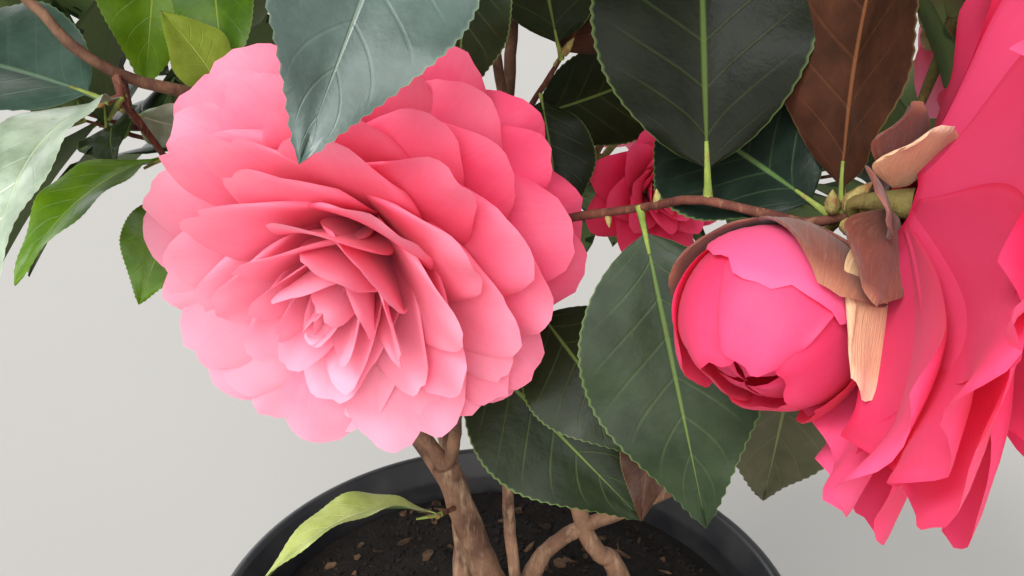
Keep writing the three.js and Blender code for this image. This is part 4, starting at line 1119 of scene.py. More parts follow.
def leaf_paint(name, base, second, vein, under, gloss, tone="tone", shine=0.12):
    """A camellia leaf: leathery, glossy above, with a pale midrib and sunken side veins.

    Tone names the mark that holds the leaf's own shade.
    """
    paint = Paint(name, Roughness=gloss, Specular_IOR_Level=shine, Coat_Weight=0.2 * shine,
                  Coat_Roughness=0.3)
    _, over, along = paint.marks()
    across = paint.math("ABSOLUTE", paint.less(over, 0.5))
    slant = paint.less(along, paint.times(across, 0.42))
    wave = paint.math("SINE", paint.times(slant, VEIN_TURNS))
    side_vein = paint.times(paint.fit(wave, 0.93, 1.0), paint.fit(across, 0.46, 0.25))
    taper = paint.fit(along, 0.0, 1.0, 1.0, 0.25)
    midrib = paint.fit(paint.math("DIVIDE", across, taper), 0.027, 0.011)
    rim = paint.fit(across, 0.484, 0.5, 0.0, 0.5)
    own = paint.read(tone)
    mottle = paint.noise(90.0, 4.0)
    patch = paint.fit(paint.plus(mottle, paint.times(own, 0.3)), 0.45, 0.9)
    plain = paint.mix(patch, base, second)
    veined = paint.mix(paint.times(side_vein, 0.09), plain, vein)
    ribbed = paint.mix(paint.math("MAXIMUM", paint.times(midrib, 0.6), rim), veined, vein)
    below = paint.fit(paint.read("under"), 0.4, 0.7)
    paint.colour(paint.mix(below, ribbed, under))
    paint.rough(paint.fit(below, 0.0, 1.0, gloss, 0.62))
    relief = paint.plus(paint.times(side_vein, -0.25), paint.times(midrib, -0.6))
    quilt = paint.plus(relief, paint.times(paint.noise(420.0, 3.0), 0.5))
    paint.bump(quilt, 0.0004, 0.7)
    return paint.material


def petal_paint(name, pale, deep, heart):
    """A petal: deeper towards its foot, pale at its rim, with fine streaks along it."""
    paint = Paint(name, Roughness=0.5, Specular_IOR_Level=0.3, Sheen_Weight=0.08, Sheen_Roughness=0.5)
    marks, _, along = paint.marks()
    tone = paint.read("tone")
    streaks = paint.noise(3.0, 4.0, paint.stretched(14, 1.2, 1, marks), 0.7)
    patches = paint.noise(60.0, 3.0)
    share = paint.plus(tone, paint.times(paint.less(streaks, 0.5), 0.26))
    share = paint.plus(share, paint.times(paint.less(patches, 0.5), 0.5))
    share = paint.plus(share, paint.fit(along, 0.5, 1.0, 0.16, -0.34))
    body = paint.mix(paint.fit(share, 0.0, 1.0), pale, deep)
    foot = paint.mix(paint.fit(along, 0.6, 0.0, 0.0, 0.9), body, heart)
    back = paint.mix(paint.fit(paint.read("under"), 0.5, 1.0, 0.0, 0.3), foot, pale)
    paint.colour(back)
    paint.bump(streaks, 0.0003, 0.25)
    paint.let_through(back, 0.5)
    return paint.material


def bark_paint(name, light, dark, streak, grain):
    """Bark: dark furrows, lighter plates and long streaks."""
    paint = Paint(name, Roughness=0.85, Specular_IOR_Level=0.25)
    coarse = paint.noise(grain * 0.3, 5.0)
    long = paint.noise(grain, 4.0, paint.stretched(1, 1, 0.22), 0.7)
    fine = paint.noise(grain * 4, 3.0)
    body = paint.mix(paint.fit(coarse, 0.35, 0.68), dark, light)
    lined = paint.mix(paint.fit(long, 0.52, 0.72, 0.0, 0.75), body, streak)
    paint.colour(paint.mix(paint.fit(fine, 0.6, 0.8, 0.0, 0.4), lined, dark))
    paint.rough(paint.fit(coarse, 0.3, 0.7, 0.9, 0.68))
    paint.bump(paint.plus(long, paint.times(fine, 0.4)), 0.0006, 0.9)
    return paint.material


def husk_paint(name, green, brown, edge):
    """A scale of bud or calyx: papery, greenish below and browner towards its rim."""
    paint = Paint(name, Roughness=0.6, Sheen_Weight=0.2)
    marks, _, along = paint.marks()
    spots = paint.noise(220.0, 4.0)
    veins = paint.noise(3.0, 3.0, paint.stretched(16, 1.5, 1, marks), 0.7)
    share = paint.plus(paint.times(along, 0.8),
                       paint.plus(paint.read("tone"), paint.less(spots, 0.7)))
    body = paint.mix(paint.fit(share, 0.1, 0.9), green, brown)
    rim = paint.mix(paint.fit(along, 0.84, 1.0, 0.0, 0.8), body, edge)
    paint.colour(paint.mix(paint.fit(veins, 0.5, 0.8, 0.0, 0.4), rim, edge))
    paint.bump(veins, 0.0005, 0.6)
    return paint.material


def pot_paint(colour, dust):
    """Black moulded plastic: a faint grain, fine scuffs and splashed dust low down."""
    paint = Paint("black_plastic", Specular_IOR_Level=0.5)
    height = paint.add("ShaderNodeSeparateXYZ", {0: paint.place}).outputs[2]
    blotch = paint.noise(28.0, 5.0)
    scuff = paint.noise(60.0, 3.0, paint.stretched(1, 1, 14), 0.7)
    low = paint.fit(height, 0.07, 0.0, 0.0, 0.35)
    dusty = paint.times(paint.fit(blotch, 0.42, 0.72), paint.plus(low, 0.09))
    worn = paint.plus(dusty, paint.fit(scuff, 0.66, 0.78, 0.0, 0.07))
    paint.colour(paint.mix(worn, colour, dust))
    paint.rough(paint.fit(blotch, 0.3, 0.7, 0.33, 0.55))
    grain = paint.noise(1500.0, 2.0)
    paint.bump(paint.plus(grain, paint.times(scuff, 0.6)), 0.00012, 0.6)
    return paint.material


def compost_paint(name, dark, light, scale):
    """Dark moist compost or chips, with lighter flecks. The compost's colours also carry painted shade."""
    paint = Paint(name, Roughness=0.95, Specular_IOR_Level=0.2)
    clods = paint.noise(scale, 6.0, None, 0.7)
    flecks = paint.noise(scale * 5, 2.0)
    body = paint.mix(paint.fit(clods, 0.38, 0.66), dark, light)
    paint.colour(paint.mix(paint.fit(flecks, 0.68, 0.8, 0.0, 0.5), body, light))
    paint.bump(clods, 0.003, 0.9)
    return paint.material


def floor_paint(colour):
    paint = Paint("pale_floor", Roughness=0.8, Specular_IOR_Level=0.3)
    wash = paint.noise(2.5, 4.0)
    darker = tuple(0.96 * c for c in colour[:3]) + (1.0,)
    paint.colour(paint.mix(wash, colour, darker))
    paint.bump(paint.noise(260.0, 3.0), 0.0004, 0.3)
    return paint.material


# Sizes and colours that a user may change

def size_setting(name, description, default):
    return bpy.props.FloatProperty(name=name, description=description, default=default, subtype="DISTANCE",
                                   unit="LENGTH", precision=4)


def strength_setting(name, description, default):
    return bpy.props.FloatProperty(name=name, description=description, default=default, min=0)


def count_setting(name, description, default, least, most):
    return bpy.props.IntProperty(name=name, description=description, default=default, min=least, max=most)


def colour_setting(name, description, default):
    return bpy.props.FloatVectorProperty(name=name, description=description, default=default, size=4,
                                         subtype="COLOR", min=0, max=1)


class CamelliaWood(bpy.types.PropertyGroup):
    """Stems, boughs and twigs."""

    light: colour_setting("Light bark", "Colour of the raised bark", srgb(134, 100, 77))
    dark: colour_setting("Dark bark", "Colour of the furrows", srgb(76, 52, 40))
    young: colour_setting("Young twig", "Colour of this year's twigs", srgb(74, 38, 32))
    relief: size_setting("Relief", "Height of the bark relief", 0.0011)


class CamelliaLeaves(bpy.types.PropertyGroup):
    """Leaves of the crown."""

    deep: colour_setting("Deep green", "Colour of old leaves", srgb(24, 32, 15))
    mid: colour_setting("Mid green", "Colour of full-grown leaves", srgb(40, 60, 22))
    fresh: colour_setting("Fresh green", "Colour of young leaves", srgb(58, 94, 4))
    under: colour_setting("Underside", "Colour of the undersides", srgb(90, 108, 64))
    vein: colour_setting("Vein", "Colour of the midrib and veins", srgb(112, 134, 66))
    gloss: bpy.props.FloatProperty(name="Roughness", description="Roughness of the upper side", default=0.36,
                                   min=0, max=1, subtype="FACTOR")


class CamelliaBlooms(bpy.types.PropertyGroup):
    """Open blooms and the bud."""

    pale: colour_setting("Pale petal", "Colour of the palest petals", srgb(255, 188, 208))
    coral: colour_setting("Coral petal", "Colour of the deeper petals of a pale bloom", srgb(252, 96, 142))
    pink: colour_setting("Pink petal", "Paler colour of a deep bloom", srgb(253, 92, 142))
    rose: colour_setting("Rose petal", "Deeper colour of a deep bloom", srgb(238, 24, 88))
    petals_front: count_setting("Front petals", "Petals of the front bloom", 80, 8, 120)
    petals: count_setting("Petals", "Petals of each other bloom", 36, 8, 80)


class CamelliaPot(bpy.types.PropertyGroup):
    """The pot and what it holds."""

    plastic: colour_setting("Plastic", "Colour of the pot", srgb(24, 25, 28))
    dust: colour_setting("Dust", "Colour of dust on the pot", srgb(122, 112, 98))
    # partly painted shade: the compost is dark, and painted darker still for compost that lies in shade
    dark: colour_setting("Compost", "Colour of the compost", srgb(15, 12, 10))
    light: colour_setting("Bark chips", "Colour of the lightest chips", srgb(96, 72, 52))
    crumbs: strength_setting("Crumbs", "Crumbs on each square metre of compost", 52000)
    sides: count_setting("Sides", "Faces round the pot", 120, 24, 240)


class CamelliaStage(bpy.types.PropertyGroup):
    """Floor, light and camera."""

    floor: colour_setting("Floor", "Colour of the floor", srgb(162, 159, 154))
    key: strength_setting("Key light", "Strength of the soft sun", 2.7)
    glow: strength_setting("Back light", "Strength of the light from behind", 1.0)
    fill: strength_setting("Fill light", "Strength of the wide light from the front", 3.6)
    sky: strength_setting("Sky", "Strength of the light from all round", 0.75)


SETTINGS = dict(camellia_wood=CamelliaWood, camellia_leaves=CamelliaLeaves, camellia_blooms=CamelliaBlooms,
                camellia_pot=CamelliaPot, camellia_stage=CamelliaStage)


# Pieces

def finer(path, steps, draw, swing, knots):
    """A path with more points, a slight wander and slightly swollen joints."""
    path = smooth(path, steps)
    inner = slice(1, -1)
    count = len(path) - 2
    path[inner, :3] += swing * np.array([[draw.uniform(-1, 1) for _ in range(3)] for _ in range(count)])
    path[inner, 3] *= 1 + knots * np.array([draw.uniform(-0.4, 1) for _ in range(count)])
    return path


def slimmer(path, kind):
    """A path whose girth is a share of the frame's, from its start to its end."""
    path = path.copy()
    path[:, 3] *= np.linspace(*GIRTH[kind], len(path))
    return path


def skin(name, paths, sides, relief, grain, material):
    """Barked limbs along paths, with so many sides, a height of relief and a fineness of grain."""
    return bake_tree(name, paths_mesh(name, paths), limb_tree(), {
        "Sides": sides, "Relief": relief, "Grain": grain, "Stretch": 4.0, "Material": material})


def make_wood(wood):
    """Stems, boughs and twigs, slimmer than the frame's and on the same lines."""
    draw = random.Random(SEEDS["wood"])
    plant = grow_plant()
    bark = bark_paint("old_bark", wood.light, wood.dark, srgb(172, 144, 116), 160.0)
    stems = []
    for name in STEMS:
        path = slimmer(finer(plant.limbs[name], 5, draw, swing=0.25, knots=0.05), "stem")
        foot = path[:1].copy()
        foot[0, 2] -= FOOT_DEPTH
        stems.append(np.vstack((foot, path)))
    stems = skin("stems", stems, sides=28, relief=wood.relief, grain=260.0, material=bark)
    settle(stems, "bark", *STEMS)
    thin = bark_paint("bough_bark", wood.light, wood.dark, wood.young, 240.0)
    boughs = [slimmer(finer(plant.limbs[name], 5, draw, swing=0.2, knots=0.08), "bough") for name in BOUGHS]
    boughs = skin("boughs", boughs, sides=16, relief=wood.relief * 0.6, grain=420.0, material=thin)
    settle(boughs, "bark", *BOUGHS)
    young = bark_paint("young_bark", srgb(112, 66, 50), wood.young, srgb(140, 104, 78), 420.0)
    twigs = [slimmer(finer(path, 3 if len(path) > 2 else 7, draw, swing=0.18, knots=0.2), "twig")
             for _, path in plant.twigs]
    twigs += [slimmer(finer(path, 6, draw, swing=0.14, knots=0.2), "fine") for path in plant.fine]
    settle(skin("twigs", twigs, sides=9, relief=0.00025, grain=700.0, material=young), "bark")


def leaf_forms():
    """Three plain leaves of a few dozen faces: a straight one and two that bend to either side."""
    forms = []
    for k, (arch, droop, bend, fold) in enumerate(((0.035, 0.08, 0.0, 0.07), (0.055, 0.13, 0.03, 0.04),
                                                   (0.02, 0.06, -0.03, 0.1))):
        grid, marks = leaf_grid(8, 4, phase=2.0 * k, fold=fold, petiole=0.06, bend=bend)
        t = grid[..., 0]
        grid[..., 2] += arch * 4 * t * (1 - t) - droop * t * t
        points, faces, marks, side = closed_sheet(grid / MM, marks, FORM_SHEET / MM)
        sheaf = Sheaf()
        sheaf.add(points, faces, marks, under=side)
        forms.append(sheaf.form("leaf_form_%d" % k))
    return forms


def drop(objects):
    for piece in objects:
        bpy.data.objects.remove(piece)


def scatter(name, rows, forms, material):
    """Three forms set on points and baked into one piece."""
    return bake_tree(name, points_mesh(name, rows), scatter_tree(), {
        **dict(zip(FORMS, forms)), "Material": material})


def make_grown_leaves(leaves):
    """The leaves of the masses, in three greens."""
    plant = grow_plant()
    draw = random.Random(SEEDS["crown"])
    forms = leaf_forms()
    finishes = {name: finish for name, _, _, _, finish, _ in SPRAYS}
    tints = dict(deep=(leaves.deep, srgb(40, 56, 28)), mid=(leaves.mid, srgb(62, 84, 36)),
                 fresh=(leaves.fresh, srgb(108, 134, 40)))
    for finish, (base, second) in tints.items():
        rows = []
        for name, leaf in plant.leaves:
            if finishes.get(name) == finish:
                size, width = leaf["length"] * MM, leaf["width"] * MM
                rows.append(dict(at=leaf["base"], d=leaf["d"], n=leaf["n"], size=(size, width, size),
                                 form=draw.randrange(3), tone=draw.random()))
        paint = leaf_paint("leaf_" + finish, base, second, leaves.vein, leaves.under, leaves.gloss, "shade")
        settle(scatter("leaves_" + finish, rows, forms, paint), "leaf",
               *[name for name, kind in finishes.items() if kind == finish])
    drop(forms)


def make_front_leaves(leaves):
    """The leaves of the sprays that the photograph shows, in their own colours."""
    plant = grow_plant()
    draw = random.Random(SEEDS["front"])
    tints = dict(
        deep=(leaves.deep, srgb(36, 44, 24), leaves.vein), mid=(leaves.mid, srgb(66, 88, 42), leaves.vein),
        fresh=(leaves.fresh, srgb(94, 128, 10), srgb(152, 174, 70)),
        # painted shade: a darker copy of the deep green, for a leaf that lies in shade
        dark=(srgb(10, 14, 5), srgb(20, 24, 10), srgb(78, 96, 42)),
        # painted shade: a darker teal, for a leaf that lies in shade
        painted_shade_teal=(srgb(14, 24, 17), srgb(28, 40, 31), srgb(90, 116, 64)),
        teal=(srgb(44, 66, 54), srgb(72, 96, 82), srgb(116, 144, 112)),
        # partly painted reflection: a grey cast on dark green, standing for the sky reflected in a glossy
        # leaf
        painted_sky_grey=(srgb(36, 52, 46), srgb(70, 88, 80), srgb(112, 130, 112)),
        dull=(srgb(32, 43, 27), srgb(50, 62, 42), srgb(104, 126, 64)),
        olive=(srgb(54, 56, 38), srgb(76, 74, 54), srgb(114, 120, 76)),
        bronze=(srgb(48, 29, 20), srgb(76, 46, 32), srgb(136, 86, 54)),
        lime=(srgb(112, 134, 38), srgb(154, 172, 66), srgb(186, 200, 104)),
        # painted highlight: a pale grey second colour that stands for the glare of light on glossy leaves
        painted_highlight=(srgb(70, 90, 60), srgb(150, 164, 140), srgb(172, 186, 148)),
        pale=(srgb(138, 150, 76), srgb(186, 192, 124), srgb(208, 212, 150)))
    shines = dict(painted_sky_grey=0.5, painted_highlight=1.0, teal=0.25, fresh=0.2, lime=0.2, dark=0.06, painted_shade_teal=0.08)
    paints = [leaf_paint("front_leaf_" + name, base, second, vein, leaves.under, leaves.gloss,
                         shine=shines.get(name, 0.12)) for name, (base, second, vein) in tints.items()]
    sheaf = Sheaf()
    order = list(tints)
    for name, leaf in plant.leaves:
        if name in FRONT_SPRAYS:
            place_leaf(sheaf, leaf, order.index(leaf["finish"]), draw)
    settle(sheaf.piece("leaves_front", *paints), "leaf", *FRONT_SPRAYS)


# Green buds crowded at the end of the front branch: place, direction and length
FRONT_BUDS = (
    ((73, -128, 429), (0.5, -0.4, 0.9), 9), ((74, -128.5, 427.6), (0.9, -0.5, -0.1), 10),
    ((71, -127.6, 428.6), (-0.3, -0.5, 0.9), 7), ((72.6, -128.6, 427), (0.5, -0.8, -0.3), 8),
    ((74.5, -128, 429), (0.9, -0.2, 0.4), 8), ((39, -99, 422.8), (-0.2, -0.3, 1), 5),
    ((28, -87.5, 418), (0.1, -0.3, -1), 4))


# A leaf's stalk: place along the leaf and height over it, as parts of its length, and share of the girth
PETIOLE = ((-0.012, 0, 1.15), (0.03, 0.002, 0.9), (0.075, 0.009, 0.7), (0.14, 0.016, 0.45))

# A leaf bud: place along it and radius, as parts of its length and width
LEAF_BUD = ((0.0, 0.02), (0.12, 0.4), (0.35, 0.5), (0.65, 0.34), (0.9, 0.12), (1.0, 0.02))


def make_petioles():
    """Leaf stalks, and the small pointed buds at the ends of the twigs."""
    plant = grow_plant()
    stalks = []
    for _, leaf in plant.leaves:
        base, d, n, size = leaf["base"], leaf["d"], leaf["n"], leaf["length"]
        thick = 0.4 + 0.008 * size
        stalks.append(np.array([[*(base + d * size * x + n * size * z), thick * r] for x, z, r in PETIOLE]))
    green = bark_paint("leaf_stalk", srgb(140, 154, 74), srgb(104, 122, 52), srgb(140, 96, 60), 500.0)
    settle(skin("petioles", stalks, sides=7, relief=0.0001, grain=900.0, material=green), "leaf")
    grid = np.array([[(x, y, z) for y, z in circle(8, r)] for x, r in LEAF_BUD])
    sheaf = Sheaf()
    sheaf.add(grid / MM, round_faces(*grid.shape[:2]))
    form = sheaf.form("bud_form")
    draw = random.Random(SEEDS["buds"])
    buds = []
    for path in [path for _, path in plant.twigs] + plant.fine:
        d = unit(path[-1][:3] - path[-2][:3])
        buds.append((path[-1][:3] - d * 0.6, d, draw.uniform(5, 9), 0.42))
    buds += [(vec(*at), unit(vec(*way)), length, 0.5) for at, way, length in FRONT_BUDS]
    rows = [dict(at=at, d=d, n=upright(vec(0, 0, 1), d), form=0, tone=0.5,
                 size=(length * MM, length * share * MM, length * share * MM))
            for at, d, length, share in buds]
    husk = bark_paint("bud_scale", srgb(172, 176, 104), srgb(140, 96, 62), srgb(120, 64, 46), 600.0)
    settle(scatter("leaf_buds", rows, (form, form, form), husk), "leaf")
    drop([form])


CALYX = dict(
    open=dict(cup=-0.2, root=0.04, lift=-0.04, bulge=1.0),
    bud=dict(root=0.02, lift=-0.04, bulge=1.0, ruffle=0.05, wrap=0.02, ragged=2.0),
    right=dict(cup=-0.5, root=0.05, lift=-0.05, ruffle=0.14, curl=-0.15, ragged=2.0))

# The scales under the right bloom and the bud: turn from straight down, start and end angle, length, half
# width, twist and paint
RIGHT_SCALES = (
    (-0.6, 85, 84, 0.62, 0.14, 0.9, 2), (-0.9, 90, 92, 0.36, 0.13, 1.0, 1), (-2.7, 84, 76, 0.26, 0.12, -1, 2),
    (0.5, 84, 100, 0.36, 0.17, 0.3, 1), (1.3, 84, 104, 0.3, 0.17, 0.0, 1), (2.1, 84, 104, 0.26, 0.17, 0.0, 1),
    (-1.6, 92, 104, 0.2, 0.13, 0.6, 1), (3.0, 84, 96, 0.26, 0.15, -0.6, 1))
BUD_SCALES = (
    (0.0, 88, 12, 1.35, 0.6, 0, 1), (1.5, 88, 8, 1.48, 0.85, 0, 1), (2.4, 88, 2, 1.54, 0.8, 0, 1),
    (4.7, 88, 4, 1.5, 0.7, 0, 1))


def turn_to(way, axis):
    """The turn about an axis, as petals count it, that points a given way."""
    across, way = upright(vec(0.2, 0.1, 1), axis), upright(way, axis)
    return math.atan2(np.cross(across, way) @ axis, across @ way)


def add_calyx(sheaf, bloom, draw):
    """Overlapping scales under a bloom, brown and papery on the bud and on the right bloom."""
    kind = bloom["kind"] if bloom["kind"] in CALYX else "open"
    down = turn_to(vec(0, 0, -1), bloom["axis"])
    places = [(k * GOLDEN, 88, 106, 0.34 * draw.uniform(0.8, 1.05), 0.17, 0, 0) for k in range(7)]
    if kind != "open":
        places = RIGHT_SCALES if kind == "right" else BUD_SCALES
    for k, (azimuth, start, end, length, half, twist, finish) in enumerate(places):
        form = {**CALYX[kind], "start": start, "end": end, "length": length, "half": half, "twist": twist}
        form["lift"] -= 0.006 * k
        radius = bloom["radius"] * (1.1 + 0.01 * k if kind == "bud" else 1)
        add_petal(sheaf, bloom["seat"], bloom["axis"], down + azimuth, radius, form, draw, rows=20, cols=18,
                  tone=draw.uniform(0, 0.4), thickness=0.6, finish=finish)


def front_bloom(sheaf, bloom, count, draw):
    """The open bloom of the photograph: tight heart below, broad petals above and to the right.

    Its petals are painted deeper in colour above and to the right, as painted shade on the bloom's shaded
    side.
    They are shortest above, and longest at the lower left.
    """
    inner, outer = unit(vec(-0.276, -0.858, -0.434)), unit(vec(0.08, -0.97, 0.16))
    across = upright(vec(0.2, 0.1, 1), inner)
    # the way towards the shaded upper right, along which the petals are painted deeper as painted shade
    deeper = upright(vec(0.6, -0.1, 0.8), inner)

    def tone_of(t, azimuth):
        way = turn(across, inner, azimuth)
        right = max(0.0, way[0])
        # painted shade: deeper towards the shaded upper right, and deeper still on the right side
        return 0.24 + 0.46 * t + 0.36 * (way @ deeper) * ramp(t, 0.1, 0.7) + 0.3 * right * ramp(t, 0.4, 0.9)

    def reach_of(t, azimuth):
        way = turn(across, inner, azimuth)
        high = max(0.0, 0.85 * way[2] + 0.4 * way[0])
        corner = max(0.0, 0.75 * way[2] - 0.66 * way[0])
        left = max(0.0, -0.35 * way[0] - 0.93 * way[2])
        right = max(0.0, way[0])
        return 1 + (0.04 * left - 0.24 * high * high - 0.08 * corner - 0.03 * right) * ramp(t, 0.3, 0.7)

    rosette(sheaf, {**bloom, "axis": inner}, FRONT_RINGS, count, draw, rows=16, cols=18, outer=outer,
            tone_of=tone_of, reach_of=reach_of)


# The outer petals of the right bloom, which is seen from behind: turn from straight down, angles, length
# and half width
RIGHT_PETALS = (
    (-0.1, 62, 112, 0.92, 0.42), (0.45, 64, 106, 0.96, 0.42), (-0.62, 68, 108, 0.94, 0.42),
    (0.95, 62, 104, 0.98, 0.44), (-1.2, 64, 104, 1.0, 0.44), (0.18, 58, 98, 1.02, 0.4),
    (-0.35, 58, 98, 1.02, 0.4), (1.55, 60, 100, 1.02, 0.44), (-1.8, 60, 100, 1.02, 0.44),
    (2.15, 56, 98, 1.06, 0.44), (-2.4, 56, 98, 1.04, 0.44), (2.8, 56, 96, 1.06, 0.44))


def side_bloom(sheaf, bloom, count, draw):
    """The bloom at the right edge, its long outer petals hanging round its calyx."""
    axis = bloom["axis"]
    rosette(sheaf, bloom, PLAIN_RINGS, count, draw, rows=14, cols=20, outer=axis,
            tone_of=lambda t, azimuth: 0.5)
    first = turn_to(vec(0, 0, -1), axis)
    for angle, start, end, length, half in RIGHT_PETALS:
        form = dict(start=start, end=end, length=length, half=half, cup=-0.3, notch=0.03, ruffle=0.17,
                    curl=0.22, root=0.1, lift=-0.02, twist=draw.uniform(-0.2, 0.2), round=0.36, ragged=1.0)
        add_petal(sheaf, bloom["seat"], axis, first + angle, bloom["radius"], form, draw, rows=26, cols=26,
                  tone=draw.uniform(0.1, 0.75))


def plain_bloom(sheaf, bloom, count, draw):
    rosette(sheaf, bloom, PLAIN_RINGS, count, draw, rows=9, cols=10, outer=bloom["axis"],
            tone_of=lambda t, azimuth: 0.2 + 0.3 * t)


# The bud's petals, from its heart outwards: turn from its upper side, end angle, half width, size and tone
BUD_PETALS = (
    (0.0, -92, 0.5, 0.84, 0.9), (1.6, -92, 0.5, 0.85, 1.0), (3.1, -90, 0.5, 0.86, 0.9),
    (4.7, -88, 0.5, 0.87, 1.0), (2.5, -70, 0.9, 0.93, 0.9), (3.9, -72, 0.9, 0.95, 0.8),
    (-0.95, -60, 0.95, 0.965, 0.9), (0.9, -64, 0.9, 0.98, 0.85), (0.1, -58, 0.62, 1.0, 0.65),
    (2.2, -50, 0.8, 1.02, 0.85), (-1.75, -46, 0.8, 1.03, 1.0),
    # the shell over the top has the palest tone, partly painted light on the bud's lit top and partly to set
    # its edge apart
    (0.0, -6, 1.2, 1.06, -0.15))


def closed_bud(sheaf, bloom, draw):
    """Petals that still wrap the bud, each over the next, with one broad shell over its top."""
    axis = bloom["axis"]
    first = turn_to(vec(0.1, -0.45, 0.9), axis)
    for angle, end, half, size, tone in BUD_PETALS:
        shell = tone < 0
        form = dict(start=86, end=end, length=math.radians(86 - end), half=half, notch=0.05, ruffle=0.05,
                    curl=-0.02, root=0.02, bulge=1.0, wrap=0.015, round=0.2 if shell else 0.3,
                    ragged=4.0 if shell else 1.0)
        add_petal(sheaf, bloom["seat"], axis, first + angle, bloom["radius"] * size, form, draw, rows=22,
                  cols=20, tone=tone, thickness=1.0 if shell else SHEET)


def make_blooms(blooms):
    """The petals of every bloom and of the bud, then all their scales and stalks."""
    plant = grow_plant()
    heart = srgb(248, 64, 112)
    paints = dict(pale=petal_paint("petal_pale", blooms.pale, blooms.coral, heart),
                  deep=petal_paint("petal_deep", blooms.pink, blooms.rose, srgb(206, 14, 56)),
                  front=petal_paint("petal_bright", srgb(255, 112, 164), blooms.rose, srgb(222, 16, 72)))
    green = husk_paint("calyx", srgb(122, 134, 66), srgb(134, 100, 64), srgb(186, 166, 124))
    brown = husk_paint("brown_scale", srgb(96, 42, 24), srgb(122, 62, 44), srgb(168, 114, 86))
    cream = husk_paint("papery_scale", srgb(180, 138, 96), srgb(218, 176, 138), srgb(234, 208, 180))
    for bloom in plant.blooms:
        draw = random.Random(bloom["name"])
        sheaf = Sheaf()
        kind = bloom["kind"]
        if kind == "front":
            front_bloom(sheaf, bloom, blooms.petals_front, draw)
        elif kind == "right":
            side_bloom(sheaf, bloom, blooms.petals, draw)
        elif kind == "bud":
            closed_bud(sheaf, bloom, draw)
        else:
            plain_bloom(sheaf, bloom, blooms.petals, draw)
        slot = "pale" if kind in ("front", "pale") else "deep"
        paint = paints["front" if kind in ("right", "bud") else slot]
        settle(sheaf.piece("petals_" + bloom["name"], paint), "bloom_" + slot, bloom["name"])
    scales = Sheaf()
    for bloom in plant.blooms:
        add_calyx(scales, bloom, random.Random("calyx " + bloom["name"]))
    settle(scales.piece("calyxes", green, brown, cream), "leaf")
    stalks = [slimmer(smooth(bloom["stalk"], 3), "stalk") for bloom in plant.blooms]
    stem = bark_paint("bloom_stalk", srgb(122, 122, 62), srgb(104, 74, 48), srgb(80, 50, 36), 420.0)
    settle(skin("bloom_stalks", stalks, sides=12, relief=0.0003, grain=500.0, material=stem), "bark")


def pot_radius(z):
    """Radius of the pot's outer wall at a height."""
    return POT["foot"] + (POT["rim"] - POT["foot"] - 3) * z / POT["height"]


def lathe(profile, sides):
    """Rings of points, turned from a profile of radius and height that starts and ends near the axis."""
    return np.array([[(x, y, z) for x, y in circle(sides, r)] for r, z in profile])


def rounded(profile, radius, steps):
    """A profile with its corners rounded."""
    out = [profile[0]]
    for before, corner, after in zip(profile[:-2], profile[1:-1], profile[2:]):
        before, corner, after = vec(*before), vec(*corner), vec(*after)
        reach = min(radius, 0.45 * length_of(before - corner), 0.45 * length_of(after - corner))
        start, end = corner + unit(before - corner) * reach, corner + unit(after - corner) * reach
        for k in range(steps + 1):
            t = k / steps
            out.append(tuple(start * (1 - t) ** 2 + corner * 2 * t * (1 - t) + end * t * t))
    return out + [profile[-1]]


def cut_holes(piece, name, middles, radius, low, high):
    """Cuts round holes straight through a piece."""
    sheaf = Sheaf()
    for x, y in middles:
        ring = circle(HOLE_SIDES, radius)
        sheaf.add([(x + a, y + b, z) for z in (low, high) for a, b in ring], tube_faces(HOLE_SIDES))
        sheaf.close_ends(HOLE_SIDES)
    cutter = sheaf.piece(name)
    modifier = piece.modifiers.new("Holes", "BOOLEAN")
    modifier.object = cutter
    modifier.solver = "EXACT"
    bake(piece)
    drop([cutter])


def make_pot(pot):
    """A tapered wall with a band and a rolled rim, and drain holes through its floor."""
    rim, foot, height, wall = POT["rim"], POT["foot"], POT["height"], POT["wall"]
    floor, top = POT["floor"], height - POT["band"]
    profile = [
        (0.5, 0), (foot - 22, 0), (foot - 2, 0), (foot, 2.4), (pot_radius(top), top), (rim - 0.6, top + 1.4),
        (rim + 0.2, height - 5), (rim + 2.2, height - 4.2), (rim + 3.1, height - 2), (rim + 2, height - 0.3),
        (rim, height), (rim - 1.8, height - 0.9), (rim - 3, height - 4), (pot_radius(top) - wall, top - 1),
        (foot - wall, floor), (0.5, floor)]
    grid = lathe(rounded(profile, radius=1.4, steps=3), pot.sides)
    sheaf = Sheaf()
    sheaf.add(grid, round_faces(len(grid), pot.sides))
    sheaf.close_ends(pot.sides)
    piece = sheaf.piece("pot_shell", pot_paint(pot.plastic, pot.dust))
    middles = circle(DRAIN["count"], DRAIN["ring"], 0.5)
    cut_holes(piece, "drain_cutter", middles, DRAIN["radius"], low=-2, high=floor + 2)
    settle(piece, "pot", "pot")


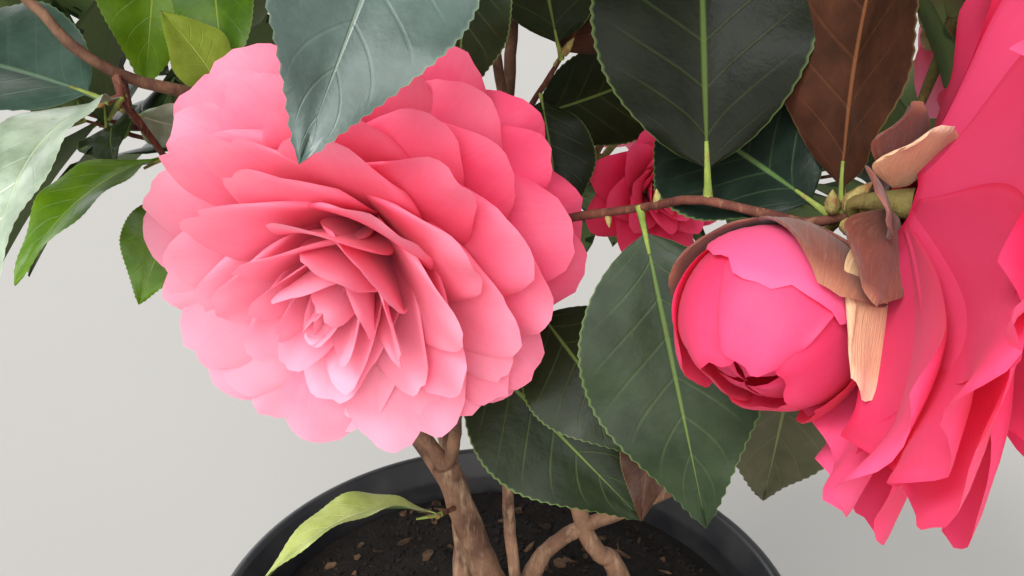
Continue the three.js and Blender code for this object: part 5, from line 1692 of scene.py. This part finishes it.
def make_compost(pot):
    """The compost is a closed lumpy body, with chips strewn on it."""
    floor, top = POT["floor"], POT["height"] - POT["band"]
    slope = (pot_radius(top) - POT["foot"]) / (top - 1 - floor)

    def inner(z):
        return POT["foot"] - POT["wall"] - CLEAR - 0.1 + slope * (z - floor)

    low = floor + CLEAR
    profile = [(0.5, low), (inner(low), low), (inner(SOIL_TOP), SOIL_TOP - 1.5)]
    profile += [(r, SOIL_TOP) for r in (110, 105, 99, 92, 85, 77, 69, 61, 53, 45, 37, 29, 21, 13, 6, 0.5)]
    grid = lathe(profile, COMPOST_SIDES)
    flat = np.hypot(grid[..., 0], grid[..., 1])
    angle = np.arctan2(grid[..., 1], grid[..., 0])
    # four waves of lumps, from broad to fine
    lumps = 1.5 * np.sin(3 * angle + flat * 0.2) + 1.0 * np.sin(7 * angle - flat * 0.13)
    lumps = lumps + 0.9 * np.sin(13 * angle + flat * 0.61)
    lumps = lumps + 0.7 * np.sin(0.3 * grid[..., 0] + 0.21 * grid[..., 1])
    crest = (grid[..., 2] > SOIL_TOP - 1) * ramp(flat, 4, 14)
    grid[..., 2] += crest * lumps
    sheaf = Sheaf()
    sheaf.add(grid, round_faces(len(grid), COMPOST_SIDES))
    sheaf.close_ends(COMPOST_SIDES)
    # partly painted shade: dark compost colours, darkened further for compost that lies in shade
    paint = compost_paint("compost", pot.dark, srgb(26, 20, 16), 90.0)
    settle(sheaf.piece("compost", paint), "soil", "soil")
    make_chips(pot, grid[3:])


def chip_forms(draw):
    """Three broken bark chips of a few faces, the last one long and thin."""
    forms = []
    for k, (long, wide, thick) in enumerate(((1.0, 0.5, 0.22), (0.7, 0.62, 0.3), (1.3, 0.24, 0.16))):
        rings = []
        for z, share in ((-1, 0.82), (1, 0.9)):
            ring = []
            for x, y in circle(CHIP_SIDES):
                reach = share * draw.uniform(0.72, 1.1)
                ring.append((long * 0.5 * x * reach, wide * 0.5 * y * reach,
                             thick * 0.5 * z * draw.uniform(0.6, 1.2)))
            rings.append(ring)
        sheaf = Sheaf()
        sheaf.add(np.array(rings) / MM, tube_faces(CHIP_SIDES))
        sheaf.close_ends(CHIP_SIDES)
        forms.append(sheaf.form("chip_form_%d" % k))
    return forms


def make_chips(pot, grid):
    """Bark chips and finer crumbs, strewn over the top of the compost."""
    draw = random.Random(SEEDS["chips"])
    forms = chip_forms(draw)
    for name, low, high, density, least, most, seed in (
            ("bark_chips", srgb(34, 25, 19), pot.light, pot.crumbs * 0.09, 0.006, 0.013, 7),
            ("crumbs", pot.dark, srgb(36, 28, 22), pot.crumbs, 0.002, 0.0065, 9)):
        ground = Sheaf()
        ground.add(grid, round_faces(*grid.shape[:2]))
        paint = compost_paint(name, low, high, 55.0)
        piece = bake_tree(name, ground.mesh(name), strew_tree(), {
            **dict(zip(FORMS, forms)), "Density": density, "Seed": seed, "Least": least, "Most": most,
            "Tilt": 0.45, "Material": paint})
        settle(piece, "soil")
    drop(forms)


# Stage

def make_stage(stage):
    sheaf = Sheaf()
    ring = [(x, y, 0) for x, y in circle(64, FLOOR_REACH)]
    sheaf.add(ring, [list(range(len(ring)))])
    sheaf.piece("floor", floor_paint(stage.floor))
    camera = bpy.data.cameras.new("camera")
    camera.lens = LOOK["focal"] / PHOTO_WIDTH * SENSOR
    camera.sensor_width = SENSOR
    camera.sensor_fit = "HORIZONTAL"
    camera.clip_start = 0.01
    viewer = make_object("camera", camera)
    viewer.location = [c * MM for c in LOOK["at"]]
    viewer.rotation_euler = (math.radians(90 - LOOK["pitch"]), 0, 0)
    bpy.context.scene.camera = viewer
    for name, strength, spread, place in (("key", stage.key, 24, (-0.8, -0.75, 1.1)),
                                          ("glow", stage.glow, 50, (-0.9, 0.9, 0.7)),
                                          ("fill", stage.fill, 60, (-0.2, -1.5, 0.5))):
        light = bpy.data.lights.new(name, "SUN")
        light.energy = strength
        light.angle = math.radians(spread)
        lamp = make_object(name, light)
        lamp.location = place
        lamp.rotation_euler = Vector(place).to_track_quat("Z", "Y").to_euler()
    world = bpy.data.worlds.new("soft_sky")
    world.use_nodes = True
    sky = world.node_tree.nodes["Background"]
    sky.inputs["Color"].default_value = (0.95, 0.97, 1.0, 1)
    sky.inputs["Strength"].default_value = stage.sky
    bpy.context.scene.world = world
    bpy.context.scene.view_settings.view_transform = "Standard"


# Operators, panel and run

class CAMELLIA_OT_wood(bpy.types.Operator):
    """Stems, boughs and twigs with their bark"""

    bl_idname = "camellia.wood"
    bl_label = "Stems, boughs and twigs"

    def execute(self, context):
        make_wood(context.scene.camellia_wood)
        return {"FINISHED"}


class CAMELLIA_OT_grown_leaves(bpy.types.Operator):
    """Leaves of the masses, set on the twigs by the growth rule"""

    bl_idname = "camellia.grown_leaves"
    bl_label = "Leaves of the crown"

    def execute(self, context):
        make_grown_leaves(context.scene.camellia_leaves)
        return {"FINISHED"}


class CAMELLIA_OT_front_leaves(bpy.types.Operator):
    """Detailed leaves round the open bloom"""

    bl_idname = "camellia.front_leaves"
    bl_label = "Leaves in front"

    def execute(self, context):
        make_front_leaves(context.scene.camellia_leaves)
        return {"FINISHED"}


class CAMELLIA_OT_petioles(bpy.types.Operator):
    """Leaf stalks and leaf buds"""

    bl_idname = "camellia.petioles"
    bl_label = "Leaf stalks and buds"

    def execute(self, context):
        make_petioles()
        return {"FINISHED"}


class CAMELLIA_OT_blooms(bpy.types.Operator):
    """Petals, calyx and stalk of every bloom and of the bud"""

    bl_idname = "camellia.blooms"
    bl_label = "Blooms"

    def execute(self, context):
        make_blooms(context.scene.camellia_blooms)
        return {"FINISHED"}


class CAMELLIA_OT_pot(bpy.types.Operator):
    """The black pot with its drain holes"""

    bl_idname = "camellia.pot"
    bl_label = "Pot"

    def execute(self, context):
        make_pot(context.scene.camellia_pot)
        return {"FINISHED"}


class CAMELLIA_OT_compost(bpy.types.Operator):
    """The compost with its bark chips and crumbs"""

    bl_idname = "camellia.compost"
    bl_label = "Compost"

    def execute(self, context):
        make_compost(context.scene.camellia_pot)
        return {"FINISHED"}


class CAMELLIA_OT_stage(bpy.types.Operator):
    """Floor, lights and camera"""

    bl_idname = "camellia.stage"
    bl_label = "Stage"

    def execute(self, context):
        make_stage(context.scene.camellia_stage)
        return {"FINISHED"}


OPERATORS = (CAMELLIA_OT_wood, CAMELLIA_OT_grown_leaves, CAMELLIA_OT_front_leaves, CAMELLIA_OT_petioles,
             CAMELLIA_OT_blooms, CAMELLIA_OT_pot, CAMELLIA_OT_compost, CAMELLIA_OT_stage)


class CAMELLIA_PT_panel(bpy.types.Panel):
    """Lists the sizes, the colours and the pieces"""

    bl_label = "Potted camellia"
    bl_idname = "CAMELLIA_PT_panel"
    bl_space_type = "VIEW_3D"
    bl_region_type = "UI"
    bl_category = "Camellia"

    def draw(self, context):
        for name, group in SETTINGS.items():
            box = self.layout.box()
            box.label(text=group.__doc__)
            for key in group.__annotations__:
                box.prop(getattr(context.scene, name), key)
        for operator in OPERATORS:
            self.layout.operator(operator.bl_idname)


def register():
    for group in SETTINGS.values():
        bpy.utils.register_class(group)
    for operator in OPERATORS:
        bpy.utils.register_class(operator)
    bpy.utils.register_class(CAMELLIA_PT_panel)
    for name, group in SETTINGS.items():
        setattr(bpy.types.Scene, name, bpy.props.PointerProperty(type=group))


def unregister():
    for name in SETTINGS:
        delattr(bpy.types.Scene, name)
    bpy.utils.unregister_class(CAMELLIA_PT_panel)
    for operator in reversed(OPERATORS):
        bpy.utils.unregister_class(operator)
    for group in reversed(list(SETTINGS.values())):
        bpy.utils.unregister_class(group)


def main():
    register()
    for operator in OPERATORS:
        group, name = operator.bl_idname.split(".")
        getattr(getattr(bpy.ops, group), name)()
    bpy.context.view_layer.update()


if __name__ == "__main__":
    main()
